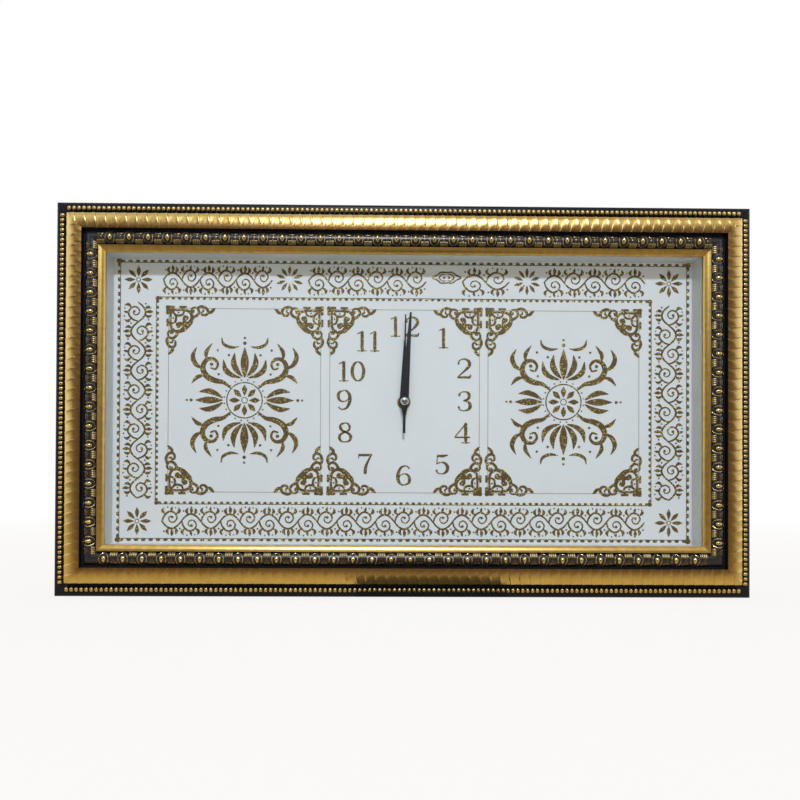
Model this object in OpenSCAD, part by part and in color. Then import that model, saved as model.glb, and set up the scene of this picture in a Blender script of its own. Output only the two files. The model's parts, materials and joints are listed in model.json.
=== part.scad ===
// Picture wall clock: a shallow shadow box with a mitred gilt moulding, a printed board behind glass,
// and a quartz movement that hangs behind the board and drives three hands in front of it.
// Each piece is drawn facing up, with x to the right, y up the clock and z out of the wall.
// Module hang() then stands it up. The origin is midway between the two keyholes, at the wall.

/* [Frame] */
// Outer width of the frame
frame_w = 712; // [600:1:900]
// Outer height of the frame
frame_h = 402; // [350:1:520]
// Depth of the hollow behind the board
hollow_d = 19.5; // [19.5:0.5:24]
// Width of the rebate that holds glass and board
rebate_w = 8; // [7:0.5:10]
// Radius of the rounded outer edge
edge_r = 4; // [2:0.5:5]

/* [Moulding] */
// Front width of the gilt lip
lip_w = 6.25; // [5:0.25:8]
// Thickness of the gilt lip
lip_t = 6.5; // [6:0.25:8]
// Width of the egg and dart row
egg_row_w = 13; // [12:0.5:16]
// Rise of the egg and dart row above its grooves
egg_row_rise = 4.6; // [3.5:0.1:5]
// Width of the groove between the lip and the egg row
groove_w = 1.25; // [1:0.25:2]
// Width of the groove between the egg row and the wide gilt band
band_groove_w = 2; // [1:0.25:3]
// Width of the wide gilt band
band_w = 16; // [12:0.5:18]
// Radius of the wide gilt band
band_r = 16; // [14.5:0.5:20]
// Distance of the band's crest from its inner edge
band_crest = 6; // [4:0.1:8]
// Rise of the band's crest above the lip
band_rise = 1; // [1:0.25:3]
// Width of the ledge that carries the beads
ledge_w = 15.5; // [13:0.5:18]
// Drop of the ledge below the lip's face
ledge_drop = 12; // [8:0.25:13]
// Radius of one bead
bead_r = 2.1; // [1.2:0.1:2.2]
// Height of a bead's centre above the ledge
bead_proud = 0.3; // [0.1:0.1:0.8]
// Spacing of the beads
bead_pitch = 5; // [4.6:0.1:7]
// Distance of the bead row from the outer edge
bead_inset = 8; // [4.2:0.1:9]
// Spacing of the eggs
egg_pitch = 19.2; // [17:0.1:24]
// Height of the relief on the egg row
egg_relief = 0.6; // [0.3:0.1:1]
// Spacing of the scales on the band
scale_pitch = 10.3; // [8:0.1:14]
// Height of the relief on the band
scale_relief = 0.4; // [0.2:0.1:0.8]

/* [Glazing and board] */
// Thickness of the glass
glass_t = 2; // [1.5:0.5:4]
// Depth of the white spacers between glass and board
spacer_d = 17; // [16:0.5:30]
// Thickness of one spacer
spacer_t = 6.5; // [4:0.5:6.5]
// Thickness of the printed board
board_t = 3; // [2:0.5:4]
// Gap round glass, board and spacers in the rebate
rebate_gap = 0.5; // [0.3:0.1:0.8]
// Width of one fixing tab
tab_w = 8; // [5:1:12]
// Thickness of one fixing tab
tab_t = 0.5; // [0.3:0.1:0.8]
// Depth to which a tab is driven into the rail
tab_bite = 6; // [4:1:10]
// Length of a tab that lies on the board
tab_grip = 8; // [6:1:12]
// Spacing of the tabs along the long rails
tab_step_long = 180; // [120:10:200]
// Spacing of the tabs along the short rails
tab_step_short = 140; // [100:10:180]

/* [Hanging] */
// Spacing of the two hanger plates
hanger_span = 400; // [200:10:440]
// Width of a hanger plate
hanger_w = 18; // [16:1:24]
// Thickness of a hanger plate
hanger_t = 1.2; // [1:0.1:2]
// Radius of the keyhole's round end
keyhole_r = 4.5; // [4:0.25:5]
// Width of the keyhole's slot
keyhole_slot = 4.4; // [3.5:0.1:5]
// Length of the keyhole's slot
keyhole_rise = 8; // [6:0.5:9]
// Distance of the keyhole below the rail's inner back edge
keyhole_drop = 18; // [16:0.5:24]
// Radius of a hanger screw's shank
screw_r = 1.5; // [1:0.1:2]
// Radius of a hanger screw's head
screw_head_r = 3.2; // [2.6:0.1:4]
// Height of a hanger screw's head
screw_head_h = 1.6; // [1:0.1:2]
// Length of a hanger screw in the rail
screw_len = 14; // [8:1:16]
// Spacing of a plate's two screws
screw_step = 12; // [9:1:14]
// Length of one leg of a corner nail
nail_leg = 7; // [5:0.5:9]
// Thickness of a corner nail
nail_t = 0.5; // [0.4:0.1:0.8]
// Depth of a corner nail
nail_d = 10; // [7:1:15]

/* [Movement] */
// Side of the square movement case
case_side = 56; // [56:1:64]
// Side walls of the case
case_wall = 1.2; // [1:0.1:1.6]
// Front wall of the case
front_wall = 1.5; // [1.3:0.1:2]
// Thickness of the back cover
cover_t = 1.2; // [1:0.1:1.6]
// Thickness of the rubber gasket
gasket_t = 0.8; // [0.5:0.1:1.5]
// Outer radius of the threaded stem
stem_r = 3.9; // [3.6:0.1:4.5]
// Length of the stem in front of the nut
stem_end = 0.5; // [0.2:0.1:1]
// Outer radius of the brass washer
washer_r = 7; // [6:0.1:9]
// Thickness of the brass washer
washer_t = 0.6; // [0.4:0.1:1]
// Width of the nut across its flats
nut_flats = 11; // [10:0.5:12]
// Thickness of the nut
nut_t = 2; // [1.5:0.1:3]
// Distance by which the gasket stands out beyond the washer
gasket_rim = 3; // [1:0.5:4]
// Diameter of the AA cell
cell_d = 14.5; // [14:0.1:14.6]
// Length of the AA cell's body
cell_len = 49.5; // [48:0.5:50]
// Length of the AA cell's button
cell_button = 1; // [0.8:0.1:1.2]
// Clearance round the AA cell
cell_gap = 0.3; // [0.2:0.05:0.5]
// Wall left in front of the AA cell
cell_skin = 0.6; // [0.4:0.1:0.8]
// Thickness of a battery contact
contact_t = 0.4; // [0.3:0.1:0.5]
// Radius of the setting knob
knob_r = 5.5; // [4:0.5:7]
// Thickness of the setting knob
knob_t = 2.4; // [1.5:0.1:2.6]
// Skin left over the arbor's end in the setting knob
knob_skin = 0.6; // [0.4:0.1:0.8]
// Number of grooves round the setting knob
grip_n = 24; // [12:1:30]
// Radius of one groove round the setting knob
grip_r = 0.4; // [0.2:0.1:0.5]

/* [Gear train] */
// Thickness of the wheels
wheel_t = 1; // [0.8:0.1:1.1]
// Thickness of the pinion that drives the motion work
motion_t = 1.6; // [1.2:0.1:1.7]
// Gap between layers of the train
layer_gap = 0.4; // [0.3:0.05:0.45]
// Thickness of the wheel bridge
bridge_t = 1.2; // [0.8:0.1:1.3]
// Running clearance of pivots and pipes
run_gap = 0.05; // [0.03:0.01:0.08]
// Radius of the seconds shaft
shaft_r = 0.5; // [0.4:0.05:0.55]
// Wall of the minute pipe
minute_pipe_wall = 0.7; // [0.6:0.05:0.8]
// Wall of the hour pipe
hour_pipe_wall = 0.6; // [0.5:0.05:0.7]
// Radius of the pivots
pivot_r = 0.45; // [0.35:0.05:0.5]
// Radius of the setting arbor
arbor_r = 1; // [0.8:0.1:1.1]
// Distance of the third wheel from the centre
third_dist = 10.8; // [10.6:0.1:11]
// Distance of the setting arbor from the centre
setting_dist = 11.52; // [11.4:0.02:12]
// Distance of the intermediate wheel from the centre
inter_dist = 10.5; // [10.3:0.1:10.8]
// Distance of the rotor from the intermediate wheel
rotor_dist = 9; // [8.8:0.1:9.2]
// Height of a tooth above the pitch circle, in modules
tooth_top = 0.7; // [0.5:0.05:0.75]
// Depth of a tooth below the pitch circle, in modules
tooth_root = 1; // [0.9:0.05:1.1]
// Half width of a tooth at its tip, as a share of the pitch
tooth_tip_share = 0.08; // [0.05:0.01:0.1]
// Half width of a tooth at its root, as a share of the pitch
tooth_root_share = 0.22; // [0.18:0.01:0.23]

/* [Hands] */
// Length of the hour hand from the centre
hour_len = 64; // [45:1:70]
// Width of the hour hand at its boss
hour_base = 9.8; // [7:0.1:10]
// Width of the hour hand at its tip
hour_tip = 1.5; // [1:0.1:3]
// Length of the minute hand from the centre
minute_len = 93; // [70:1:110]
// Width of the minute hand at its boss
minute_base = 9; // [7:0.1:10]
// Width of the minute hand at its tip
minute_tip = 2; // [1:0.1:3]
// Length of the second hand from the centre
second_len = 90; // [70:1:110]
// Length of the second hand's tail
second_tail = 33; // [20:1:45]
// Width of the second hand's tail
tail_w = 2.6; // [1.5:0.1:3]
// Width of the second hand's needle
needle_w = 1.9; // [1:0.1:2.4]
// Thickness of a hand
hand_t = 0.5; // [0.4:0.1:0.8]
// Gap between one hand and the next
hand_gap = 1.5; // [1.2:0.1:2]
// Radius of the hour and minute hands' round boss
boss_r = 5; // [4.6:0.1:5.6]
// Radius of the silver cap
cap_r = 4.4; // [3.6:0.1:4.6]
// Height of the silver cap
cap_h = 2.4; // [1.5:0.1:2.4]
// Clockwise angle of the minute hand at rest
minute_angle = 3.9; // [0:0.05:359]
// Clockwise angle of the second hand at rest
second_angle = 0.5; // [0:0.5:359]

/* [Hidden] */
$fn = 64;
eps = 0.01;
through = 1;

// Moulding, measured outward from the lip's edge and forward from the wall
rail_w = lip_w + groove_w + egg_row_w + band_groove_w + band_w + ledge_w;
open_w = frame_w - 2 * rail_w;
open_h = frame_h - 2 * rail_w;
board_z = hollow_d;
spacer_z = board_z + board_t;
glass_z = spacer_z + spacer_d;
lip_z = glass_z + glass_t;
lip_front = lip_z + lip_t;
lip_nose_r = lip_t / 2;
egg_u = lip_w + groove_w + egg_row_w / 2;
egg_r = (egg_row_w * egg_row_w / 4 + egg_row_rise * egg_row_rise) / (2 * egg_row_rise);
egg_z = lip_front - egg_r;
groove_z = lip_front - egg_row_rise;
band_u0 = lip_w + groove_w + egg_row_w + band_groove_w;
band_u1 = band_u0 + band_w;
band_u = band_u0 + band_crest;
band_z = lip_front + band_rise - band_r;
ledge_z = lip_front - ledge_drop;
bead_u = rail_w - bead_inset;
bead_z = ledge_z + bead_proud;
frame_d = lip_front + band_rise;

// Egg and dart outlines, across the row
egg_w = 9.4;
egg_margin = 0.6;
egg_h = egg_row_w - 2 * egg_margin;
egg_line = 0.9;
egg_fullness = 1.15;
yolk_r = 1.9;
dart_w = 5.6;
dart_waist = 2;
dart_slit = 1;
dart_h = egg_row_w / 2 - 2 * egg_margin;
scale_r = 0.7 * band_w;
scale_edge = scale_pitch / 3;
scale_reach = scale_r - sqrt(scale_r * scale_r - band_w * band_w / 4) + scale_edge;

// Board, glass and spacers fill the rebate less a gap
pane_w = open_w + 2 * (rebate_w - rebate_gap);
pane_h = open_h + 2 * (rebate_w - rebate_gap);
slot_fit = 0.05;
hole_fit = 0.25;
board_hole_r = stem_r + hole_fit;

// Hanging line above the hand axis
rail_back_y = open_h / 2 + rebate_w;
hang_rise = rail_back_y - keyhole_drop;
hanger_foot = 4;
hanger_corner_r = 3;
hanger_tail = keyhole_r + hanger_foot;
screw_y = 10;
hanger_margin = 2;
hanger_reach = screw_y + screw_step + screw_head_r + hanger_margin;
nail_inset = [20, 36];
nail_sunk = 0.5;

// Movement layers, measured back from the case's front face
case_z = hollow_d - gasket_t;
hour_at = front_wall + layer_gap;
motion_at = hour_at + wheel_t + layer_gap;
centre_at = motion_at + motion_t + layer_gap;
bridge_at = centre_at + wheel_t + layer_gap;
third_at = bridge_at + bridge_t + layer_gap;
stator_t = wheel_t;
seconds_at = third_at + wheel_t + layer_gap;
inter_at = seconds_at + wheel_t + layer_gap;
train_d = inter_at + wheel_t + 2 * layer_gap;
cover_at = max(train_d, cell_skin + cell_d + 2 * cell_gap - cover_t);
case_d = cover_at + cover_t;
half = case_side / 2;
inside = half - case_wall;

// Battery bay along the bottom of the case
bay_h = cell_d + 2 * cell_gap;
bay_y = -inside + bay_h / 2;
bay_top = -inside + bay_h;
cell_z = cell_skin + cell_gap + cell_d / 2;
cell_x0 = -(cell_len + cell_button) / 2;
cell_x1 = cell_x0 + cell_len;
button_r = 2.75;
contact_h = 10;
contact_y = bay_y - contact_h / 2;
contact_z = cell_z + contact_h / 2;
contact_fit = 0.1;
leaf_gap = 0.2;

// Teeth: rotor 12, intermediate 60 and 10, seconds 60 and 8, third 60 and 8, centre 64
// Motion work: cannon 12, minute wheel 36 and 10, hour wheel 40
third_deg = 10;
setting_deg = 90;
inter_deg = 170;
rotor_deg = 120;
third_p = polar(third_dist, third_deg);
setting_p = polar(setting_dist, setting_deg);
inter_p = polar(inter_dist, inter_deg);
rotor_p = inter_p + polar(rotor_dist, rotor_deg);
pivot_bite = 0.7;
magnet_r = 2.1;
stator_hole_r = 2.6;
boss_wall = 0.5;
pivot_end = layer_gap / 4;
pinion_extra = layer_gap / 2;
hub_share = 1.6;
rear_pivot_end = cover_at + pivot_bite - pivot_end;
bridge_pivot_end = bridge_at + bridge_t - pivot_bite + pivot_end;
front_pivot_end = front_wall - pivot_bite + pivot_end;

// Posts, bridge, stator and coil in the upper part of the case
case_corner_r = 2;
cover_fit = 0.1;
stator_posts = [[-half + 5, 8], [-7, 22]];
bridge_posts = [[-17.5, -6], [-17.5, 5]];
post_r = 1.6;
third_boss_end = centre_at - layer_gap;
bridge_x0 = -20;
bridge_x1 = 3;
bridge_neck_x = [-11, -6];
bridge_y = [-8, 4, 13];
stator_x = -25;
stator_y = 6;
stator_w = 20;
stator_body_h = 7.2;
stator_arm_w = 4;
stator_arm_x = -9;
core_y = 22;
core_w = 3;
stator_arm_h = core_y + core_w / 2 - stator_y;
coil_x0 = -20;
coil_x1 = -10;
coil_r = 3.6;
coil_flange = 0.6;
coil_flange_rise = 0.5;
coil_slot_gap = 0.15;
coil_core_z = third_at + stator_t / 2;

// Circuit board behind the cover's corner, with a sealed chip and the crystal
pcb_t = 0.8;
pcb_seat = 0.1;
pcb_z = cover_at - pcb_seat;
pcb_corner = [6, 14.5];
pcb_size = [20, 11.5];
chip_p = [20, 18.5];
chip_r = 2.2;
chip_h = 0.8;
crystal_r = 1;
crystal_len = 6;
crystal_p = [9, 22.5];
crystal_seat = 0.02;
knob_gap = 0.1;

// Pipes and hands, measured forward from the case's front face
minute_bore = shaft_r + run_gap;
minute_pipe_r = minute_bore + minute_pipe_wall;
hour_bore = minute_pipe_r + run_gap;
hour_pipe_r = hour_bore + hour_pipe_wall;
stem_bore = hour_pipe_r + run_gap;
washer_z = gasket_t + board_t;
nut_z = washer_z + washer_t;
stem_len = nut_z + nut_t + stem_end;
hour_hand_z = stem_len + hand_gap / 2;
minute_hand_z = hour_hand_z + hand_t + hand_gap;
second_hand_z = minute_hand_z + hand_t + hand_gap;
pipe_show = 0.4;
hour_pipe_end = hour_hand_z + hand_t + pipe_show;
minute_pipe_end = minute_hand_z + hand_t + pipe_show;
shaft_end = second_hand_z + hand_t + pipe_show;
press_gap = 0.02;
collar_wall = 0.6;
collar_h = hand_gap / 4;
needle_root = 16;
needle_end_w = needle_w * 2 / 3;
hour_angle = minute_angle / 12;

// Point at a distance and an angle
function polar(r, a) = [r * cos(a), r * sin(a)];

// Module of two gears at a given distance
function gear_module(za, zb, dist) = 2 * dist / (za + zb);

// Outline of a gear, four points a tooth
function gear_points(z, m, phase) =
    let (pitch = 360 / z, r0 = m * (z / 2 - tooth_root), r1 = m * (z / 2 + tooth_top))
    [for (i = [0 : z - 1], k = [[r0, -tooth_root_share], [r1, -tooth_tip_share],
        [r1, tooth_tip_share], [r0, tooth_root_share]]) polar(k[0], phase + pitch * (i + k[1]))];

// Turn of a gear that lies at angle a from its mate and meshes with it
function mesh_phase(mate_z, mate_phase, a, z) =
    a + 180 + (0.5 - (mate_phase - a) * mate_z / 360) * 360 / z;

// Stands the clock up against the wall, with the keyholes at the origin
module hang() {
    rotate([90, 0, 0]) translate([0, -hang_rise, hanger_t]) children();
}

// Moves to the movement, with z zero at the front face of its case
module at_case() {
    translate([0, 0, case_z]) children();
}

// A plate centred on the axis, with rounded corners where r is set
module plate(w, h, t, r = 0) {
    if (r > 0) {
        for (x = [-1, 1], y = [-1, 1])
            translate([x * (w / 2 - r), y * (h / 2 - r), 0]) cylinder(r = r, h = t);
        translate([-w / 2, -h / 2 + r, 0]) cube([w, h - 2 * r, t]);
        translate([-w / 2 + r, -h / 2, 0]) cube([w - 2 * r, h, t]);
    } else {
        translate([-w / 2, -h / 2, 0]) cube([w, h, t]);
    }
}

module tube(r, bore, h) {
    difference() {
        cylinder(r = r, h = h);
        translate([0, 0, -through]) cylinder(r = bore, h = h + 2 * through);
    }
}

// Cross-section of the moulding: x outward from the lip's edge, y forward from the wall
module rail_profile() {
    translate([rebate_w, 0]) square([band_u1 - rebate_w, groove_z]);
    translate([rebate_w, 0]) square([rail_w - rebate_w - edge_r, ledge_z]);
    translate([rebate_w, 0]) square([rail_w - rebate_w, ledge_z - edge_r]);
    translate([rail_w - edge_r, ledge_z - edge_r]) circle(r = edge_r);
    translate([lip_nose_r, lip_z]) square([lip_w - lip_nose_r, lip_t]);
    translate([lip_nose_r, lip_z + lip_nose_r]) circle(r = lip_nose_r);
    translate([lip_nose_r, lip_z]) square([band_u1 - lip_nose_r, groove_z - lip_z]);
    intersection() {
        translate([egg_u, egg_z]) circle(r = egg_r);
        translate([lip_w + groove_w, lip_z]) square([egg_row_w, frame_d]);
    }
    intersection() {
        translate([band_u, band_z]) circle(r = band_r);
        translate([band_u0, lip_z]) square([band_w, frame_d]);
    }
}

// Oval made of two arcs with its ends cut round
module oval(w, h) {
    side_r = (w * w + h * h) / (4 * w) * egg_fullness;
    intersection() {
        translate([side_r - w / 2, 0]) circle(r = side_r);
        translate([w / 2 - side_r, 0]) circle(r = side_r);
        circle(r = h / 2);
    }
}

// One egg: an oval ring round a small dome's outline
module egg() {
    difference() {
        oval(egg_w, egg_h);
        oval(egg_w - 2 * egg_line, egg_h - 2 * egg_line);
    }
    circle(r = yolk_r);
}

// One dart: two wedges that meet at a waist
module dart() {
    for (s = [-1, 1])
        polygon([[-dart_waist / 2, s * dart_slit / 2], [dart_waist / 2, s * dart_slit / 2],
            [dart_w / 2, s * dart_h], [-dart_w / 2, s * dart_h]]);
}

// Copies a shape along a rail, evenly about its middle, with one there or with a gap there
module along(length, pitch, gap = false) {
    shift = gap ? 0.5 : 0;
    n = floor(length / pitch / 2 + shift);
    for (i = [-n : gap ? n - 1 : n]) translate([(i + shift) * pitch, 0, 0]) children();
}

// A round bar along x, which gives a row its curved face
module bar(length, u, z, r) {
    translate([-length / 2, u, z]) rotate([0, 90, 0]) cylinder(r = r, h = length);
}

// Raised beads on the ledge
module bead_row(length) {
    along(length - 2 * bead_inset, bead_pitch) translate([0, bead_u, bead_z]) sphere(r = bead_r);
}

// Raised eggs and darts on their half-round row
module egg_row(length) {
    row = length - 2 * (rail_w - egg_u);
    dart_row = row - 2 * dart_h - dart_w;
    intersection() {
        bar(length, egg_u, egg_z, egg_r + egg_relief);
        translate([0, egg_u, groove_z - eps]) linear_extrude(egg_row_rise + 2 * egg_relief) {
            along(row - egg_w, egg_pitch, true) egg();
            along(dart_row, egg_pitch) dart();
        }
    }
}

// Raised crescents on the wide band, like overlapping scales
module scale_row(length) {
    row = length - 2 * (rail_w - band_u0) - 2 * scale_reach;
    intersection() {
        bar(length, band_u, band_z, band_r + scale_relief);
        translate([0, band_u0 + band_w / 2, groove_z]) linear_extrude(frame_d) intersection() {
            along(row, scale_pitch) translate([-scale_r, 0]) difference() {
                circle(r = scale_r);
                translate([-scale_edge, 0]) circle(r = scale_r);
            }
            square([length, band_w - 2 * scale_relief], center = true);
        }
    }
}

// One straight rail of a given outer length, lying along x with its lip's edge at y = 0
module rail(length) {
    inner = length - 2 * rail_w;
    intersection() {
        union() {
            translate([-length / 2, 0, 0]) rotate([90, 0, 90]) linear_extrude(length) rail_profile();
            bead_row(length);
            egg_row(length);
            scale_row(length);
        }
        translate([0, 0, -through]) linear_extrude(frame_d + 2 * through)
            polygon([[-inner / 2, 0], [inner / 2, 0], [length / 2, rail_w], [-length / 2, rail_w]]);
    }
}

// Cuts for nails and tabs, in the clock's own plane
module rail_cuts() {
    corner_nails_at(slot_fit, through);
    tabs_at(slot_fit);
}

// Turns a piece that was drawn for the top edge to another edge, at a distance from the centre
module side(turn, dist) {
    rotate([0, 0, turn]) translate([0, dist, 0]) children();
}

module top_rail() {
    color("goldenrod") hang() difference() {
        side(0, open_h / 2) rail(frame_w);
        rail_cuts();
        hanger_places() for (i = [0, 1])
            translate([0, rail_back_y - hang_rise + screw_y + i * screw_step, -through])
                cylinder(r = screw_r + slot_fit, h = screw_len + through + slot_fit);
    }
}

module bottom_rail() {
    color("goldenrod") hang() difference() {
        side(180, open_h / 2) rail(frame_w);
        rail_cuts();
    }
}

module left_rail() {
    color("goldenrod") hang() difference() {
        side(90, open_w / 2) rail(frame_h);
        rail_cuts();
    }
}

module right_rail() {
    color("goldenrod") hang() difference() {
        side(-90, open_w / 2) rail(frame_h);
        rail_cuts();
    }
}

// V-shaped nails across each mitre, grown by a fit and let out at the back for their slots
module corner_nails_at(fit = 0, out = 0) {
    for (x = [-1, 1], y = [-1, 1], u = nail_inset)
        mirror([x < 0 ? 1 : 0, 0, 0]) mirror([0, y < 0 ? 1 : 0, 0])
            translate([open_w / 2 + u + fit, open_h / 2 + u + fit, nail_sunk - out])
                linear_extrude(nail_d + out + fit) {
                    translate([-nail_leg - 2 * fit, -nail_t - 2 * fit])
                        square([nail_leg + 2 * fit, nail_t + 2 * fit]);
                    translate([-nail_t - 2 * fit, -nail_leg - 2 * fit])
                        square([nail_t + 2 * fit, nail_leg + 2 * fit]);
                }
}

module corner_nails() {
    color("silver") hang() corner_nails_at();
}

module glass_pane() {
    color("lightcyan", 0.3) hang() translate([0, 0, glass_z]) plate(pane_w, pane_h, glass_t);
}

// Spacers stand between glass and board, against the rebate
module spacer(length) {
    translate([-length / 2, 0, spacer_z]) cube([length, spacer_t, spacer_d]);
}

module spacer_top() {
    color("whitesmoke") hang() side(0, pane_h / 2 - spacer_t) spacer(pane_w);
}

module spacer_bottom() {
    color("whitesmoke") hang() side(180, pane_h / 2 - spacer_t) spacer(pane_w);
}

module spacer_left() {
    color("whitesmoke") hang() side(90, pane_w / 2 - spacer_t) spacer(pane_h - 2 * spacer_t);
}

module spacer_right() {
    color("whitesmoke") hang() side(-90, pane_w / 2 - spacer_t) spacer(pane_h - 2 * spacer_t);
}

module picture_board() {
    color("white") hang() translate([0, 0, board_z]) difference() {
        plate(pane_w, pane_h, board_t);
        translate([0, 0, -through]) cylinder(r = board_hole_r, h = board_t + 2 * through);
    }
}

// Steel tabs driven into the rebate's wall, flat against the back of the board
module tab_row(dist, step, n, fit) {
    for (i = [0 : n - 1])
        translate([(i - (n - 1) / 2) * step - tab_w / 2 - fit, dist + rebate_w - tab_grip - fit,
            board_z - tab_t - fit])
            cube([tab_w + 2 * fit, tab_grip + tab_bite + 2 * fit, tab_t + 2 * fit]);
}

module tabs_at(fit = 0) {
    for (turn = [0, 180]) rotate([0, 0, turn]) tab_row(open_h / 2, tab_step_long, 4, fit);
    for (turn = [90, -90]) rotate([0, 0, turn]) tab_row(open_w / 2, tab_step_short, 2, fit);
}

module board_tabs() {
    color("silver") hang() tabs_at();
}

// Keyhole plates, with y zero at the keyhole's round end
module hanger_places() {
    for (s = [-1, 1]) translate([s * hanger_span / 2, hang_rise, 0]) children();
}

module hanger_plate() {
    length = hanger_tail + keyhole_drop + hanger_reach;
    translate([0, 0, -hanger_t]) difference() {
        translate([0, length / 2 - hanger_tail, 0]) plate(hanger_w, length, hanger_t, hanger_corner_r);
        translate([0, 0, -through]) cylinder(r = keyhole_r, h = hanger_t + 2 * through);
        translate([-keyhole_slot / 2, 0, -through])
            cube([keyhole_slot, keyhole_rise, hanger_t + 2 * through]);
        translate([0, keyhole_rise, -through])
            cylinder(r = keyhole_slot / 2, h = hanger_t + 2 * through);
        for (i = [0, 1]) translate([0, keyhole_drop + screw_y + i * screw_step, -through])
            cylinder(r = screw_r + slot_fit, h = hanger_t + 2 * through);
    }
}

module hanger_left() {
    color("silver") hang() translate([-hanger_span / 2, hang_rise, 0]) hanger_plate();
}

module hanger_right() {
    color("silver") hang() translate([hanger_span / 2, hang_rise, 0]) hanger_plate();
}

// Pan-head screws
module hanger_screws() {
    color("gainsboro") hang() hanger_places() for (i = [0, 1])
        translate([0, keyhole_drop + screw_y + i * screw_step, 0]) {
            translate([0, 0, -hanger_t - screw_head_h]) cylinder(r = screw_head_r, h = screw_head_h);
            translate([0, 0, -hanger_t - eps]) cylinder(r = screw_r, h = hanger_t + screw_len + eps);
        }
}

// Boss for a pivot, from a wall at depth z0 back to depth z1
module pivot_boss(p, z0, z1) {
    translate([p[0], p[1], -max(z0, z1)])
        cylinder(r = pivot_r + run_gap + boss_wall, h = abs(z1 - z0));
}

// Blind hole for a pivot between two depths
module pivot_hole(p, z0, z1, r = pivot_r) {
    translate([p[0], p[1], -max(z0, z1)]) cylinder(r = r + run_gap, h = abs(z1 - z0));
}

// Front half of the movement: an open box with a battery bay, posts and the threaded stem
module movement_case() {
    color("dimgray") hang() at_case() difference() {
        union() {
            difference() {
                translate([0, 0, -case_d]) plate(case_side, case_side, case_d, case_corner_r);
                translate([-inside, bay_top + case_wall, -case_d - through])
                    cube([2 * inside, inside - bay_top - case_wall, case_d - front_wall + through]);
                translate([-inside, -inside, -case_d - through])
                    cube([2 * inside, bay_h, case_d - cell_z + through]);
                translate([-inside, bay_y, -cell_z]) rotate([0, 90, 0])
                    cylinder(r = bay_h / 2, h = 2 * inside);
                translate([-inside, bay_top - eps, -case_d - through])
                    cube([2 * inside, case_wall + 2 * eps, cover_t + through]);
            }
            cylinder(r = stem_r, h = stem_len);
            for (p = stator_posts) translate([p[0], p[1], -third_at])
                cylinder(r = post_r, h = third_at - front_wall + eps);
            for (p = bridge_posts) translate([p[0], p[1], -bridge_at])
                cylinder(r = post_r, h = bridge_at - front_wall + eps);
            pivot_boss(third_p, front_wall - eps, third_boss_end);
        }
        translate([0, 0, -front_wall - through])
            cylinder(r = stem_bore, h = front_wall + stem_len + 2 * through);
        pivot_hole(third_p, third_boss_end + through, front_wall - pivot_bite);
        pivot_hole(setting_p, front_wall + through, front_wall - pivot_bite);
    }
}

// Back cover: lies inside the walls on the bay's edge and carries the rear pivots
module movement_cover() {
    y0 = bay_top + cover_fit;
    color("gray") hang() at_case() difference() {
        union() {
            translate([-inside + cover_fit, y0, -case_d])
                cube([2 * (inside - cover_fit), inside - cover_fit - y0, cover_t]);
            pivot_boss(third_p, cover_at + eps, third_at + wheel_t + layer_gap);
            pivot_boss([0, 0], cover_at + eps, seconds_at + wheel_t + layer_gap);
            pivot_boss(inter_p, cover_at + eps, inter_at + wheel_t + layer_gap);
            pivot_boss(rotor_p, cover_at + eps, inter_at + wheel_t + 2 * layer_gap);
        }
        pivot_hole(third_p, third_at, cover_at + pivot_bite);
        pivot_hole([0, 0], seconds_at, cover_at + pivot_bite, shaft_r);
        pivot_hole(inter_p, inter_at, cover_at + pivot_bite);
        pivot_hole(rotor_p, inter_at, cover_at + pivot_bite);
        pivot_hole(setting_p, cover_at - through, case_d + through, arbor_r);
    }
}

module mounting_gasket() {
    color("black") hang() at_case() tube(washer_r + gasket_rim, board_hole_r, gasket_t);
}

module brass_washer() {
    color("goldenrod") hang() at_case() translate([0, 0, washer_z])
        tube(washer_r, stem_r + run_gap, washer_t);
}

module brass_nut() {
    color("gold") hang() at_case() translate([0, 0, nut_z]) difference() {
        cylinder(d = nut_flats / cos(30), h = nut_t, $fn = 6);
        translate([0, 0, -through]) cylinder(r = stem_r + run_gap, h = nut_t + 2 * through);
    }
}

// Bridge across the middle of the train, on its own posts
module wheel_bridge() {
    color("white") hang() at_case() difference() {
        translate([0, 0, -bridge_at - bridge_t]) linear_extrude(bridge_t)
            polygon([[bridge_x0, bridge_y[0]], [bridge_x1, bridge_y[0]], [bridge_x1, bridge_y[1]],
                [bridge_neck_x[1], bridge_y[1]], [bridge_neck_x[0], bridge_y[2]], [bridge_x0, bridge_y[2]]]);
        pivot_hole([0, 0], bridge_at - through, third_at, shaft_r);
        pivot_hole(inter_p, bridge_at + bridge_t - pivot_bite, third_at);
        pivot_hole(rotor_p, bridge_at + bridge_t - pivot_bite, third_at);
    }
}

// Soft iron stator: a plate round the rotor, two arms and the core that runs through the coil
module stator() {
    color("slategray") hang() at_case() translate([0, 0, -third_at - stator_t])
        linear_extrude(stator_t) difference() {
            union() {
                translate([stator_x, stator_y]) square([stator_w, stator_body_h]);
                for (x = [stator_x, stator_arm_x])
                    translate([x, stator_y]) square([stator_arm_w, stator_arm_h]);
                translate([stator_x, core_y - core_w / 2]) square([stator_w, core_w]);
            }
            translate(rotor_p) circle(r = stator_hole_r);
        }
}

// Coil: a flanged bobbin full of wire, with the core's slot through it
module coil() {
    length = coil_x1 - coil_x0;
    slot = coil_slot_gap;
    color("chocolate") hang() at_case() difference() {
        translate([coil_x0, core_y, -coil_core_z]) rotate([0, 90, 0]) {
            cylinder(r = coil_r - coil_flange_rise, h = length);
            for (z = [0, length - coil_flange])
                translate([0, 0, z]) cylinder(r = coil_r, h = coil_flange);
        }
        translate([coil_x0 - through, core_y - core_w / 2 - slot, -third_at - stator_t - slot])
            cube([length + 2 * through, core_w + 2 * slot, stator_t + 2 * slot]);
    }
}

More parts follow.
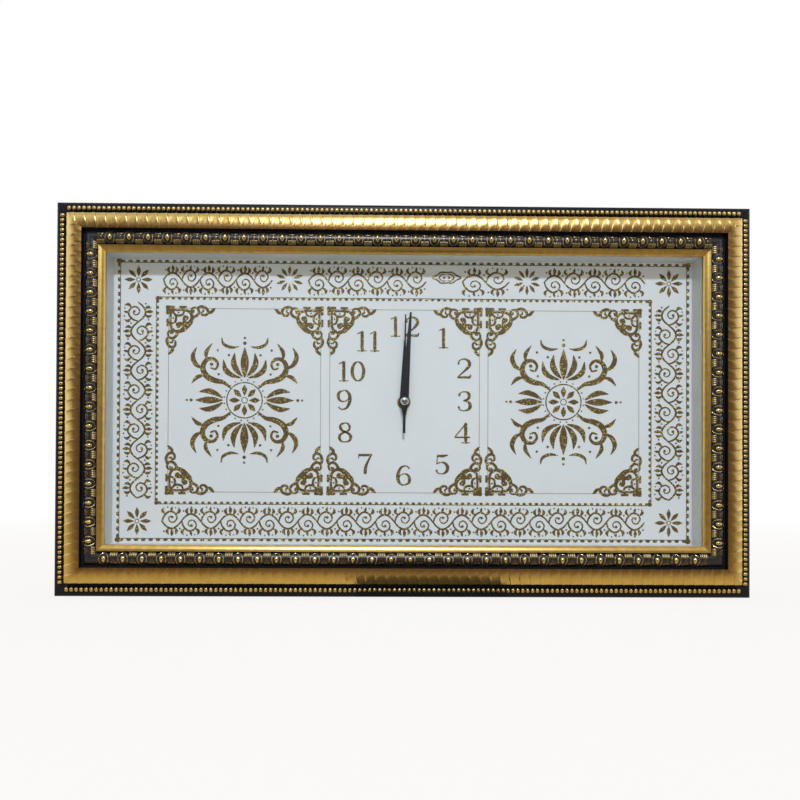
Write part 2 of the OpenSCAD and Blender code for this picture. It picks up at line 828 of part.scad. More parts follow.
module circuit_board() {
    color("green") hang() at_case() {
        translate([pcb_corner[0], pcb_corner[1], -pcb_z]) cube([pcb_size[0], pcb_size[1], pcb_t]);
        translate([chip_p[0], chip_p[1], -pcb_z + pcb_t - eps]) cylinder(r = chip_r, h = chip_h);
    }
}

module quartz_crystal() {
    color("silver") hang() at_case()
        translate([crystal_p[0], crystal_p[1], -pcb_z + pcb_t + crystal_r + crystal_seat])
            rotate([0, 90, 0]) cylinder(r = crystal_r, h = crystal_len);
}

// Contact plates at the two ends of the battery bay
module contact_plus() {
    color("silver") hang() at_case() translate([inside - contact_t - contact_fit, contact_y, -contact_z])
        cube([contact_t, contact_h, contact_h]);
}

// A folded leaf that presses on the cell's flat end
module contact_minus() {
    x0 = -inside + contact_fit;
    x1 = cell_x0 - leaf_gap;
    color("silver") hang() at_case() translate([0, contact_y, -contact_z]) {
        translate([x0, 0, 0]) cube([contact_t, contact_h, contact_h]);
        translate([x1 - contact_t, 0, 0]) cube([contact_t, contact_h, contact_h]);
        translate([x0, 0, contact_h - contact_t]) cube([x1 - x0, contact_h, contact_t]);
    }
}

module aa_cell() {
    color("darkgreen") hang() at_case() translate([cell_x0, bay_y, -cell_z]) rotate([0, 90, 0]) {
        cylinder(d = cell_d, h = cell_len);
        cylinder(r = button_r, h = cell_len + cell_button);
    }
}

// A toothed wheel whose front face lies at a depth behind the case's front
module wheel(z, m, depth, t, phase) {
    translate([0, 0, -depth - t]) linear_extrude(t) polygon(gear_points(z, m, phase));
}

// A round arbor between two depths
module arbor(r, z0, z1) {
    translate([0, 0, -z1]) cylinder(r = r, h = z1 - z0);
}

module at_axis(p) {
    hang() at_case() translate([p[0], p[1], 0]) children();
}

module rotor() {
    color("black") at_axis(rotor_p) {
        arbor(pivot_r, bridge_pivot_end, rear_pivot_end);
        arbor(magnet_r, third_at - pinion_extra, third_at + wheel_t + layer_gap);
        wheel(12, gear_module(60, 12, rotor_dist), inter_at - pinion_extra, wheel_t + layer_gap,
            mesh_phase(60, 0, rotor_deg, 12));
    }
}

module intermediate_wheel() {
    color("white") at_axis(inter_p) {
        arbor(pivot_r, bridge_pivot_end, rear_pivot_end);
        wheel(10, gear_module(60, 10, inter_dist), seconds_at - pinion_extra, wheel_t + layer_gap,
            mesh_phase(60, 0, inter_deg, 10));
        wheel(60, gear_module(60, 12, rotor_dist), inter_at, wheel_t, 0);
        arbor(pivot_r * hub_share, seconds_at, inter_at + wheel_t);
    }
}

// Seconds wheel, with its pinion and the long shaft that carries the second hand
module seconds_wheel() {
    color("white") at_axis([0, 0]) {
        arbor(shaft_r, -shaft_end, rear_pivot_end);
        wheel(8, gear_module(8, 60, third_dist), third_at - pinion_extra, wheel_t + layer_gap, 0);
        wheel(60, gear_module(60, 10, inter_dist), seconds_at, wheel_t, 0);
        arbor(shaft_r * hub_share, third_at, seconds_at + wheel_t);
    }
}

module third_wheel() {
    color("white") at_axis(third_p) {
        arbor(pivot_r, front_pivot_end, rear_pivot_end);
        wheel(8, gear_module(8, 64, third_dist), centre_at - pinion_extra, wheel_t + layer_gap, 0);
        wheel(60, gear_module(8, 60, third_dist), third_at, wheel_t, mesh_phase(8, 0, third_deg, 60));
        arbor(pivot_r * hub_share, centre_at, third_at + wheel_t);
    }
}

// Centre wheel, which drives the cannon pinion through a slipping fit
module centre_wheel() {
    color("white") at_axis([0, 0]) difference() {
        wheel(64, gear_module(8, 64, third_dist), centre_at, wheel_t,
            mesh_phase(8, 0, third_deg + 180, 64));
        translate([0, 0, -centre_at - wheel_t - through])
            cylinder(r = minute_pipe_r + run_gap, h = wheel_t + 2 * through);
    }
}

module cannon_pinion() {
    color("goldenrod") at_axis([0, 0]) difference() {
        union() {
            arbor(minute_pipe_r, -minute_pipe_end, bridge_at - pinion_extra);
            wheel(12, gear_module(12, 36, setting_dist), motion_at, motion_t, 0);
        }
        arbor(minute_bore, -minute_pipe_end - through, bridge_at + through);
    }
}

module minute_wheel() {
    color("white") at_axis(setting_p) {
        arbor(pivot_r, front_pivot_end, motion_at);
        wheel(10, gear_module(10, 40, setting_dist), hour_at - pinion_extra, wheel_t + layer_gap, 0);
        wheel(36, gear_module(12, 36, setting_dist), motion_at, motion_t,
            mesh_phase(12, 0, setting_deg, 36));
        arbor(arbor_r, hour_at, case_d + knob_t - knob_skin);
    }
}

module hour_wheel() {
    color("white") at_axis([0, 0]) difference() {
        union() {
            wheel(40, gear_module(10, 40, setting_dist), hour_at, wheel_t,
                mesh_phase(10, 0, setting_deg + 180, 40));
            arbor(hour_pipe_r, -hour_pipe_end, hour_at + wheel_t);
        }
        arbor(hour_bore, -hour_pipe_end - through, hour_at + wheel_t + through);
    }
}

// Setting knob on the back, with a grooved edge
module setting_knob() {
    color("dimgray") at_axis(setting_p) difference() {
        arbor(knob_r, case_d + knob_gap, case_d + knob_gap + knob_t);
        for (i = [0 : grip_n - 1]) rotate([0, 0, i * 360 / grip_n]) translate([knob_r, 0, 0])
            arbor(grip_r, case_d, case_d + 2 * knob_t);
        arbor(arbor_r + press_gap, case_d, case_d + knob_t - knob_skin + press_gap);
    }
}

// A tapered hand that points up, with a round boss
module hand_outline(length, base, tip) {
    circle(r = boss_r);
    taper(length, base, tip);
}

// Outline that narrows along y from the axis
module taper(length, base, tip) {
    polygon([[-base / 2, 0], [base / 2, 0], [tip / 2, length], [-tip / 2, length]]);
}

// Short collar under a hand, round its pipe
module collar(z, pipe_r) {
    translate([0, 0, z - collar_h]) cylinder(r = pipe_r + collar_wall, h = collar_h + eps);
}

module hour_hand() {
    color("black") hang() at_case() rotate([0, 0, -hour_angle]) difference() {
        union() {
            translate([0, 0, hour_hand_z]) linear_extrude(hand_t)
                hand_outline(hour_len, hour_base, hour_tip);
            collar(hour_hand_z, hour_pipe_r);
        }
        cylinder(r = hour_pipe_r + press_gap, h = hour_pipe_end + through);
    }
}

module minute_hand() {
    color("black") hang() at_case() rotate([0, 0, -minute_angle]) difference() {
        union() {
            translate([0, 0, minute_hand_z]) linear_extrude(hand_t)
                hand_outline(minute_len, minute_base, minute_tip);
            collar(minute_hand_z, minute_pipe_r);
        }
        cylinder(r = minute_pipe_r + press_gap, h = minute_pipe_end + through);
    }
}

module second_hand() {
    color("black") hang() at_case() rotate([0, 0, -second_angle]) difference() {
        union() {
            translate([0, 0, second_hand_z]) linear_extrude(hand_t) {
                circle(r = cap_r);
                taper(second_len, needle_w, needle_end_w);
                taper(needle_root, 2 * cap_r, needle_w);
                taper(-needle_root, 2 * cap_r, tail_w);
                translate([-tail_w / 2, -second_tail]) square([tail_w, second_tail]);
            }
            collar(second_hand_z, shaft_r);
        }
        cylinder(r = shaft_r + press_gap, h = shaft_end + through);
    }
}

// Silver dome over the middle of the second hand
module second_hand_cap() {
    dome_r = (cap_r * cap_r + cap_h * cap_h) / (2 * cap_h);
    color("silver") hang() at_case() translate([0, 0, second_hand_z + hand_t]) difference() {
        intersection() {
            translate([0, 0, cap_h - dome_r]) sphere(r = dome_r);
            cylinder(r = cap_r, h = cap_h + through);
        }
        translate([0, 0, -through])
            cylinder(r = shaft_r + press_gap, h = through + pipe_show + press_gap);
    }
}

top_rail();
bottom_rail();
left_rail();
right_rail();
corner_nails();
glass_pane();
spacer_top();
spacer_bottom();
spacer_left();
spacer_right();
picture_board();
board_tabs();
hanger_left();
hanger_right();
hanger_screws();
movement_case();
movement_cover();
mounting_gasket();
brass_washer();
brass_nut();
wheel_bridge();
stator();
coil();
circuit_board();
quartz_crystal();
contact_plus();
contact_minus();
aa_cell();
rotor();
intermediate_wheel();
seconds_wheel();
third_wheel();
centre_wheel();
cannon_pinion();
minute_wheel();
hour_wheel();
setting_knob();
hour_hand();
minute_hand();
second_hand();
second_hand_cap();
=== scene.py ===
"""Looks of the picture wall clock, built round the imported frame, in metres."""
import json
from math import asin, ceil, copysign, cos, degrees, hypot, pi, radians, sin, sqrt, tan

import bmesh
import bpy
from mathutils import Matrix, Vector


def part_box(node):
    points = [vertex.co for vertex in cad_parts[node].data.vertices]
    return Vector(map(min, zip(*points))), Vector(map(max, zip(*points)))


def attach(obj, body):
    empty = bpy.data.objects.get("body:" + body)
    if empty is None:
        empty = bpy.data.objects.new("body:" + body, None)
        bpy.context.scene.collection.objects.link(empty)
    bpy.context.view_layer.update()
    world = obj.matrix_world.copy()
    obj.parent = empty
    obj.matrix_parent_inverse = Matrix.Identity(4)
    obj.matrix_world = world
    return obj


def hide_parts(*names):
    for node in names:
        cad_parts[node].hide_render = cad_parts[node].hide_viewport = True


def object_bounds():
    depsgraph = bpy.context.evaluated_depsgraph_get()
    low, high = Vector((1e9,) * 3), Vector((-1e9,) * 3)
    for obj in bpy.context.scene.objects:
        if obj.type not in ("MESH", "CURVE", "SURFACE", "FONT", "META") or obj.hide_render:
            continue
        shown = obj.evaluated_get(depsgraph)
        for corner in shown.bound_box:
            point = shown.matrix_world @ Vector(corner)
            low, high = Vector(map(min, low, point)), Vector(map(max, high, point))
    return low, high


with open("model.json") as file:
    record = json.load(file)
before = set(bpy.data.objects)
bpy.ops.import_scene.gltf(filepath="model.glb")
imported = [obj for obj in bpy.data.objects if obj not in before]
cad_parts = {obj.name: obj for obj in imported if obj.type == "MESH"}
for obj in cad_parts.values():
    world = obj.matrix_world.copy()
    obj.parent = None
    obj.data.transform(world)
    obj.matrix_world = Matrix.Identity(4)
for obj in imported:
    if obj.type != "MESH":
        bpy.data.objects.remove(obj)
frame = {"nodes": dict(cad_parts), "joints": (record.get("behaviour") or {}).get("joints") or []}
cad_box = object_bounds()

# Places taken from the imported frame

MM = 0.001
SPIN = next(joint for joint in frame["joints"] if joint["name"] == "seconds_spin")
AXIS = Vector(SPIN["pos_m"])
TOP_LO, TOP_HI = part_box("top_rail")
RIGHT_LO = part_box("right_rail")[0]
BACK_Y = TOP_HI.y
BOARD_H = (BACK_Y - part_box("picture_board")[0].y) / MM
OPEN_W = 2 * (RIGHT_LO.x - AXIS.x) / MM
OPEN_H = 2 * (TOP_LO.z - AXIS.z) / MM
RAIL_W = (TOP_HI.z - TOP_LO.z) / MM


def face(x, y, h):
    """World point x right and y up of the hand axis, h forward of the rails' back, given in mm."""
    return Vector((AXIS.x + x * MM, BACK_Y - h * MM, AXIS.z + y * MM))


# Shader tools

def operator(operation, turned=False):
    """Operator that adds a Math node, with its two sides turned round where asked."""
    def act(self, other):
        first, second = (other, self) if turned else (self, other)
        return self.nodes.node("Math", {0: first, 1: second}, operation=operation)
    return act


class Value:
    """A shader socket; each operator used on it adds a Math node."""

    def __init__(self, nodes, socket):
        self.nodes = nodes
        self.socket = socket

    __add__ = __radd__ = operator("ADD")
    __sub__ = operator("SUBTRACT")
    __rsub__ = operator("SUBTRACT", True)
    __mul__ = operator("MULTIPLY")
    __gt__ = operator("GREATER_THAN")
    __lt__ = operator("LESS_THAN")


class Nodes:
    """A node tree and the one way that nodes are made in it."""

    def __init__(self, tree):
        self.tree = tree

    def feed(self, socket, value):
        if isinstance(value, Value):
            self.tree.links.new(value.socket, socket)
        elif socket.type == "RGBA":
            socket.default_value = (*value, 1.0)
        else:
            socket.default_value = value

    def node(self, kind, sockets=None, output=0, **settings):
        node = self.tree.nodes.new("ShaderNode" + kind)
        for label, value in settings.items():
            setattr(node, label, value)
        for label, value in (sockets or {}).items():
            self.feed(node.inputs[label], value)
        return Value(self, node.outputs[output])

    def rays(self):
        """Whether a ray comes from the eye, from gloss or through glass."""
        return [self.node("LightPath", output=kind)
                for kind in ("Is Camera Ray", "Is Glossy Ray", "Is Transmission Ray")]


class Finish(Nodes):
    """One procedural material: its Principled shader and the nodes that drive it."""

    def __init__(self, name, **sockets):
        self.material = bpy.data.materials.new(name)
        self.material.use_nodes = True
        super().__init__(self.material.node_tree)
        self.shader = self.tree.nodes["Principled BSDF"]
        self.own = Value(self, self.shader.outputs[0])
        self.set(**sockets)

    def where(self, stretch=(1, 1, 1)):
        """Object coordinates in millimetres, stretched by the given factors."""
        spot = self.node("TexCoord", output="Object")
        scale = tuple(factor / MM for factor in stretch)
        return self.node("VectorMath", {0: spot, 1: scale}, operation="MULTIPLY")

    def axis(self, letter):
        """One object coordinate in millimetres."""
        return self.node("SeparateXYZ", {0: self.where()}, letter)

    def outwards(self):
        """Distance in millimetres out from the opening's edge, on whichever rail the point lies."""
        across, up = [
            self.node("Math", {0: self.axis(letter) - centre / MM}, operation="ABSOLUTE") - span / 2
            for letter, centre, span in (("X", AXIS.x, OPEN_W), ("Z", AXIS.z, OPEN_H))]
        return self.node("Math", {0: across, 1: up}, operation="MAXIMUM")

    def noise(self, size, detail, rough=0.55, stretch=(1, 1, 1)):
        """Noise of about the given grain size in millimetres, 0 to 1."""
        return self.node("TexNoise", {
            "Vector": self.where(stretch), "Scale": 1.0 / size, "Detail": detail, "Roughness": rough})

    def flakes(self, size, channel):
        """Cells of about the given size in millimetres, each with its own random value, 0 to 1."""
        cells = self.node("TexVoronoi", {"Vector": self.where(), "Scale": 1.0 / size}, "Color")
        return self.node("SeparateColor", {0: cells}, channel)

    def between(self, value, low, high):
        """The value's place between low and high, held to 0 to 1."""
        return self.node("MapRange", {"Value": value, "From Min": low, "From Max": high}, clamp=True)

    def blend(self, factor, first, second):
        return self.node("Mix", {"Factor": factor, 6: first, 7: second}, 2, data_type="RGBA")

    def bump(self, height, depth, strength=1.0):
        """Bump of the given depth in millimetres for a height of 0 to 1."""
        return self.node("Bump", {"Strength": strength, "Distance": depth * MM, "Height": height})

    def mixed(self, factor, first, second):
        """The material, with a mix of two shaders as its surface."""
        mix = self.node("MixShader", {0: factor, 1: first, 2: second})
        self.feed(self.tree.nodes["Material Output"].inputs["Surface"], mix)
        return self.material

    def set(self, **sockets):
        for label, value in sockets.items():
            self.feed(self.shader.inputs[label.replace("_", " ")], value)
        return self.material


# Finishes of the moulding

def gilt(name, light, dark, rough, grain, inner_brown=None):
    """Gold foil over a dark ground, a little rubbed, and browner towards the opening's edge where a span for
    that is given.
    """
    f = Finish(name, Coat_Weight=0.8, Coat_Roughness=0.24)
    tone = f.noise(grain, 4.0)
    rub = f.noise(grain * 0.22, 2.0)
    worn = f.between(f.noise(grain * 0.5, 5.0, 0.7), 0.66, 0.72)
    gold = f.blend(f.between(tone, 0.3, 0.72), dark, light)
    if inner_brown:
        brown, start, end = inner_brown
        gold = f.blend(f.between(f.outwards() + tone * 1.6, start, end), brown, gold)
    return f.set(
        Base_Color=f.blend(worn * 0.45, gold, (0.10, 0.06, 0.025)),
        Metallic=1.0 - worn * 0.35,
        Roughness=rough + rub * 0.16 + worn * 0.2,
        Normal=f.bump(rub, 0.03, 0.5))


def gloss_black(name, rough, gloss):
    """Smooth black lacquer with a little dust in it."""
    f = Finish(name, Specular_IOR_Level=gloss)
    wave = f.noise(7.0, 2.0)
    dust = f.between(f.noise(0.7, 3.0, 0.7), 0.66, 0.8)
    return f.set(
        Base_Color=f.blend(dust * 0.5, (0.011, 0.012, 0.016), (0.045, 0.043, 0.042)),
        Roughness=rough + wave * 0.06 + dust * 0.2,
        Normal=f.bump(wave, 0.03, 0.4))


def rail_back(name):
    """Flat black paint over foamed plastic, scuffed."""
    f = Finish(name)
    grain = f.noise(0.9, 4.0, 0.7)
    scuff = f.between(f.noise(14.0, 5.0, 0.65), 0.58, 0.68)
    return f.set(
        Base_Color=f.blend(scuff * 0.6, (0.022, 0.021, 0.021), (0.085, 0.078, 0.07)),
        Roughness=0.62 + grain * 0.25,
        Normal=f.bump(grain, 0.12, 0.6))


# Finishes of the picture

def white_board(name):
    """Cool white printed face, brown hardboard behind, told apart by the way it faces."""
    f = Finish(name)
    fibre = f.noise(0.8, 5.0, 0.7, (0.35, 1.0, 1.0))
    cloud = f.noise(60.0, 3.0)
    front = f.node("SeparateXYZ", {0: f.node("NewGeometry", output="Normal")}, "Y") < -0.5
    paper = f.blend(cloud, (0.74, 0.765, 0.79), (0.79, 0.81, 0.83))
    brown = f.blend(f.between(fibre, 0.3, 0.75), (0.135, 0.075, 0.036), (0.30, 0.185, 0.10))
    return f.set(
        Base_Color=f.blend(front, brown, paper),
        Roughness=0.72 - front * 0.22 + fibre * 0.1,
        Normal=f.bump(fibre, 0.05, 0.35))


def glitter_ink(name):
    """Brown gold ink with brighter glitter grains in it."""
    f = Finish(name)
    chance = f.flakes(0.9, "Red")
    cloud = f.between(f.noise(9.0, 2.0), 0.35, 0.7)
    spark = (chance + cloud * 0.09) > 0.95
    fine = f.flakes(0.4, "Green")
    tone = f.blend(fine * 0.6 + cloud * 0.4, (0.085, 0.051, 0.015), (0.215, 0.138, 0.041))
    return f.set(
        Base_Color=f.blend(spark, tone, (0.78, 0.62, 0.20)),
        Metallic=0.15 + spark * 0.45,
        Roughness=0.5 - spark * 0.12,
        Normal=f.bump(fine, 0.06, 0.5))


def panel_ink(name):
    """Fine grey gold line ink."""
    f = Finish(name)
    grain = f.noise(0.5, 3.0)
    return f.set(
        Base_Color=f.blend(f.between(grain, 0.35, 0.7), (0.33, 0.30, 0.24), (0.50, 0.47, 0.39)),
        Metallic=grain * 0.3,
        Roughness=0.45 + grain * 0.2)


def liner_card(name):
    """White coated card, with faint fibres and handling marks."""
    f = Finish(name)
    fibre = f.noise(1.1, 4.0, 0.65)
    mark = f.between(f.noise(35.0, 4.0), 0.55, 0.8)
    return f.set(
        Base_Color=f.blend(mark * 0.6, (0.76, 0.765, 0.75), (0.66, 0.655, 0.63)),
        Roughness=0.5 + fibre * 0.2,
        Normal=f.bump(fibre, 0.04, 0.3))


def window_glass(name):
    """Clear pane: see-through, with the sheen of glass and faint smears on its front face."""
    f = Finish(name, Base_Color=(0.95, 0.98, 0.97), Metallic=1.0)
    lo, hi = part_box("glass_pane")
    front = f.axis("Y") < (lo.y + hi.y) / 2 / MM
    smear = f.between(f.noise(45.0, 4.0, 0.6, (1.0, 1.0, 2.5)), 0.5, 0.85)
    f.set(Roughness=0.02 + smear * 0.05)
    sheen = f.node("Fresnel", {"IOR": 1.45})
    clear = f.node("BsdfTransparent", {"Color": (0.97, 0.985, 0.98)})
    return f.mixed(front * (sheen * 0.9 + smear * 0.012), clear, f.own)


# Finishes of the hands and the works

def hand_black(name):
    """Black paint on stamped metal."""
    f = Finish(name)
    grain = f.noise(0.5, 3.0)
    return f.set(
        Base_Color=f.blend(grain, (0.008, 0.008, 0.009), (0.018, 0.018, 0.019)),
        Roughness=0.3 + grain * 0.18,
        Normal=f.bump(grain, 0.02, 0.5))


def turned_metal(name, light, dark, rough):
    """Metal turned on a lathe about the hand axis, with fine rings."""
    f = Finish(name, Metallic=1.0)
    spot = f.node("VectorMath", {0: f.where(), 1: tuple(AXIS / MM)}, operation="SUBTRACT")
    flat = f.node("VectorMath", {0: spot, 1: (1, 0, 1)}, operation="MULTIPLY")
    radius = f.node("VectorMath", {0: flat}, "Value", operation="LENGTH")
    rings = f.node("TexNoise", {"W": radius * 9.0, "Detail": 2.0}, noise_dimensions="1D")
    tarnish = f.noise(3.0, 4.0)
    return f.set(
        Base_Color=f.blend(f.between(tarnish, 0.35, 0.75), light, dark),
        Roughness=rough + rings * 0.15,
        Normal=f.bump(rings, 0.02, 0.5))


def plated_steel(name, light, dark, rough):
    """Plated sheet steel with a faint crystal bloom and rolling marks."""
    f = Finish(name, Metallic=1.0)
    bloom = f.flakes(2.6, "Green")
    roll = f.noise(0.5, 3.0, 0.6, (0.12, 1.0, 1.0))
    return f.set(
        Base_Color=f.blend(bloom * 0.6 + roll * 0.4, dark, light),
        Roughness=rough + roll * 0.18 + bloom * 0.06,
        Normal=f.bump(roll, 0.02, 0.5))


def moulded(name, light, dark, rough, grain=0.45, depth=0.05):
    """Moulded plastic or rubber with a fine spark-eroded grain."""
    f = Finish(name)
    pit = f.noise(grain, 2.0, 0.5)
    shade = f.noise(18.0, 3.0)
    return f.set(
        Base_Color=f.blend(shade * 0.7 + pit * 0.3, dark, light),
        Roughness=rough + pit * 0.18,
        Normal=f.bump(pit, depth, 0.6))


def wound_wire(name):
    """Enamelled copper wire laid in turns along the bobbin."""
    f = Finish(name)
    turns = f.node("TexWave", {
        "Vector": f.where(), "Scale": 1.1, "Distortion": 0.6, "Detail": 1.0,
    }, "Fac", wave_type="BANDS", bands_direction="X")
    return f.set(
        Base_Color=f.blend(turns, (0.20, 0.058, 0.022), (0.72, 0.29, 0.115)),
        Metallic=0.55 + turns * 0.4,
        Roughness=0.42 - turns * 0.16,
        Normal=f.bump(turns, 0.08))


def cell_jacket(name):
    """Printed sleeve of the cell, two plain colours, with bare steel ends."""
    lo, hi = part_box("aa_cell")
    f = Finish(name)
    along = f.axis("X")
    foot, tip, band = 1.4, 2.6, 15.0
    end = (along < (lo.x / MM + foot)) + (along > (hi.x / MM - tip))
    cap = along > (hi.x / MM - band)
    fine = f.noise(0.4, 2.0, 0.5, (0.1, 1.0, 1.0))
    sleeve = f.blend(cap, (0.028, 0.085, 0.058), (0.50, 0.36, 0.13))
    return f.set(
        Base_Color=f.blend(end, sleeve, (0.62, 0.62, 0.60)),
        Metallic=end * 0.75 + cap * 0.25,
        Roughness=0.26 + fine * 0.14,
        Normal=f.bump(fine, 0.01, 0.4))


# Brown at the band's inner edge, fading to gold between 23.5 and 35.5 mm out from the opening's edge
BAND_INNER_BROWN = ((0.33, 0.155, 0.036), 23.5, 35.5)
FINISH = {
    "band": gilt("gilt_band", (0.84, 0.62, 0.20), (0.72, 0.49, 0.13), 0.25, 9.0, BAND_INNER_BROWN),
    # Darker gilt on the scales' seams: painted shade in the creases between scales
    "seam": gilt("gilt_seam_painted_shade", (0.46, 0.30, 0.10), (0.28, 0.17, 0.05), 0.3, 5.0),
    "lip": gilt("gilt_lip", (0.80, 0.55, 0.15), (0.62, 0.40, 0.10), 0.25, 6.0),
    # Nearly black gilt on the darts' waists and heads: painted shade over the relief
    "relief": gilt("gilt_relief_painted_shade", (0.14, 0.10, 0.045), (0.06, 0.042, 0.02), 0.24, 5.0),
    "ring": gilt("gilt_ring", (0.66, 0.50, 0.20), (0.40, 0.29, 0.10), 0.18, 5.0),
    "yolk": gilt("gilt_yolk", (0.86, 0.66, 0.25), (0.62, 0.43, 0.12), 0.17, 4.0),
    # Dim gilt on the darts' hatched feet: painted shade
    "foot": gilt("gilt_foot_painted_shade", (0.42, 0.32, 0.13), (0.22, 0.16, 0.06), 0.36, 5.0),
    "bead": gilt("gilt_bead", (0.74, 0.54, 0.18), (0.50, 0.34, 0.09), 0.34, 5.0),
    "black": gloss_black("black_lacquer", 0.32, 0.1),
    "ground": gloss_black("black_ground", 0.3, 0.5),
    "back": rail_back("back_paint"),
    "board": white_board("printed_board"),
    "ink": glitter_ink("glitter_ink"),
    "line": panel_ink("line_ink"),
    "liner": liner_card("liner_card"),
    "glass": window_glass("window_glass"),
    "hand": hand_black("hand_paint"),
    "cap": turned_metal("cap_silver", (0.78, 0.78, 0.77), (0.60, 0.60, 0.60), 0.16),
    "brass": turned_metal("turned_brass", (0.80, 0.58, 0.24), (0.58, 0.38, 0.13), 0.22),
    "zinc": plated_steel("zinc_plate", (0.72, 0.71, 0.68), (0.50, 0.49, 0.46), 0.3),
    "case": moulded("case_plastic", (0.030, 0.030, 0.031), (0.016, 0.016, 0.017), 0.36),
    "rubber": moulded("gasket_rubber", (0.045, 0.043, 0.041), (0.02, 0.02, 0.02), 0.66, 0.8, 0.1),
    "wheel": moulded("wheel_plastic", (0.82, 0.79, 0.72), (0.68, 0.65, 0.58), 0.34),
    "iron": plated_steel("core_iron", (0.40, 0.39, 0.38), (0.22, 0.21, 0.20), 0.42),
    "wire": wound_wire("coil_wire"),
    "resin": moulded("board_resin", (0.12, 0.075, 0.025), (0.07, 0.042, 0.014), 0.32, 0.7),
    "cell": cell_jacket("cell_jacket"),
}

NODES_IN = {
    "glass": "glass_pane",
    "board": "picture_board",
    "liner": "spacer_top spacer_bottom spacer_left spacer_right",
    "hand": "hour_hand minute_hand second_hand",
    "brass": "brass_washer brass_nut cannon_pinion",
    "zinc": "corner_nails board_tabs hanger_left hanger_right hanger_screws "
            "contact_plus contact_minus quartz_crystal",
    "case": "movement_case movement_cover",
    "rubber": "mounting_gasket",
    "wheel": "wheel_bridge intermediate_wheel seconds_wheel third_wheel centre_wheel "
             "minute_wheel hour_wheel setting_knob",
    "iron": "rotor stator",
    "wire": "coil",
    "resin": "circuit_board",
    "cell": "aa_cell",
}


def dress(node, finish):
    """Gives a CAD node its finish."""
    materials = frame["nodes"][node].data.materials
    materials.clear()
    materials.append(FINISH[finish])


for finish_name, node_names in NODES_IN.items():
    for node_name in node_names.split():
        dress(node_name, finish_name)


# Mesh tools

WELD = 1e-7


def stand(name, data):
    """Puts a mesh, lamp or camera into the scene as an object."""
    piece = bpy.data.objects.new(name, data)
    bpy.context.scene.collection.objects.link(piece)
    return piece


def around(count, start=0.0):
    """Angles of so many even steps round a circle."""
    return [2 * pi * (c + start) / count for c in range(count)]


class Shape:
    """Points and faces gathered into one closed piece, with a finish for each face."""

    def __init__(self, *finishes):
        self.finishes = finishes
        self.points = []
        self.faces = []
        self.marks = []

    def add(self, points, faces, finish):
        """Adds faces in one finish, or in a finish for each face."""
        start = len(self.points)
        self.points.extend(points)
        names = [finish] * len(faces) if isinstance(finish, str) else finish
        for corners, name in zip(faces, names):
            self.faces.append([start + c for c in corners])
            self.marks.append(self.finishes.index(name))

    def loft(self, rings, finish, closed=False):
        """Skin over rings of equal length, in one finish or one for each strip, with flat ends if open."""
        count = len(rings[0])
        points = [point for ring in rings for point in ring]
        strips = len(rings) if closed else len(rings) - 1
        faces = []
        for r in range(strips):
            here = r * count
            there = ((r + 1) % len(rings)) * count
            for c in range(count):
                d = (c + 1) % count
                faces.append((here + c, here + d, there + d, there + c))
        if not closed:
            faces.append(tuple(range(count)))
            faces.append(tuple(len(points) - 1 - c for c in range(count)))
        if not isinstance(finish, str):
            finish = [name for name in finish[:strips] for _ in range(count)] + [finish[0]] * 2
        self.add(points, faces, finish)

    def make(self, name, sharp=40):
        mesh = bpy.data.meshes.new(name)
        mesh.from_pydata([tuple(p) for p in self.points], [], self.faces)
        for finish in self.finishes:
            mesh.materials.append(FINISH[finish])
        mesh.polygons.foreach_set("material_index", self.marks)
        work = bmesh.new()
        work.from_mesh(mesh)
        bmesh.ops.remove_doubles(work, verts=work.verts, dist=WELD)
        bmesh.ops.recalc_face_normals(work, faces=work.faces)
        for polygon in work.faces:
            polygon.smooth = True
        work.to_mesh(mesh)
        work.free()
        mesh.set_sharp_from_angle(angle=radians(sharp))
        return stand(name, mesh)


def arc(centre_u, centre_h, radius, start, end, steps):
    """Profile points on an arc, angles in degrees from straight forward towards the outer edge."""
    turns = [radians(start + (end - start) * i / steps) for i in range(steps + 1)]
    return [(centre_u + radius * sin(a), centre_h + radius * cos(a)) for a in turns]


# Moulding: u runs outwards from the lip's edge, h forward from the back, s along the rail

REBATE_W = 8.0
LIP_W = 6.25
LIP_BACK = 41.5
LIP_FRONT = 48.0
LIP_EDGE_H = 46.9
LIP_R = 9.0
LIP_TILT = 45
LIP_END = 7
NOSE_R = 1.6
GROOVE_H = 43.4
EGG_U = 14.0
EGG_R = 6.89
EGG_EDGE = 6.5
EGG_C = LIP_FRONT - EGG_R
EGG_A = degrees(asin(EGG_EDGE / EGG_R))
BAND_U0 = 22.5
BAND_U1 = 38.5
BAND_CREST_U = 27.2
BAND_CREST_H = 49.0
BAND_R = 28.0
BAND_TURN_U = 34.0
BAND_EDGE_R = 10.0
BAND_STEPS = 16
LEDGE_H = 36.8
LEDGE_TILT = radians(6)
EDGE_R = 4.0


def ledge_height(u):
    """Height of the ledge, which rises from the band to the rail's rounded edge."""
    return LEDGE_H - (RAIL_W - EDGE_R - u) * tan(LEDGE_TILT)


def band_point(t, lift):
    """Point (u, h) on the wide band, t from its inner to its outer edge, where it turns down faster."""
    u = BAND_U0 + (BAND_U1 - BAND_U0) * t
    lean = (min(u, BAND_TURN_U) - BAND_CREST_U) / BAND_R
    h = BAND_CREST_H - BAND_R * (1 - sqrt(1 - lean ** 2))
    if u > BAND_TURN_U:
        more = lean + (u - BAND_TURN_U) / BAND_EDGE_R
        h -= BAND_EDGE_R * (sqrt(1 - lean ** 2) - sqrt(1 - more ** 2))
        lean = more
    return u + lift * lean, h + lift * sqrt(1 - lean ** 2)


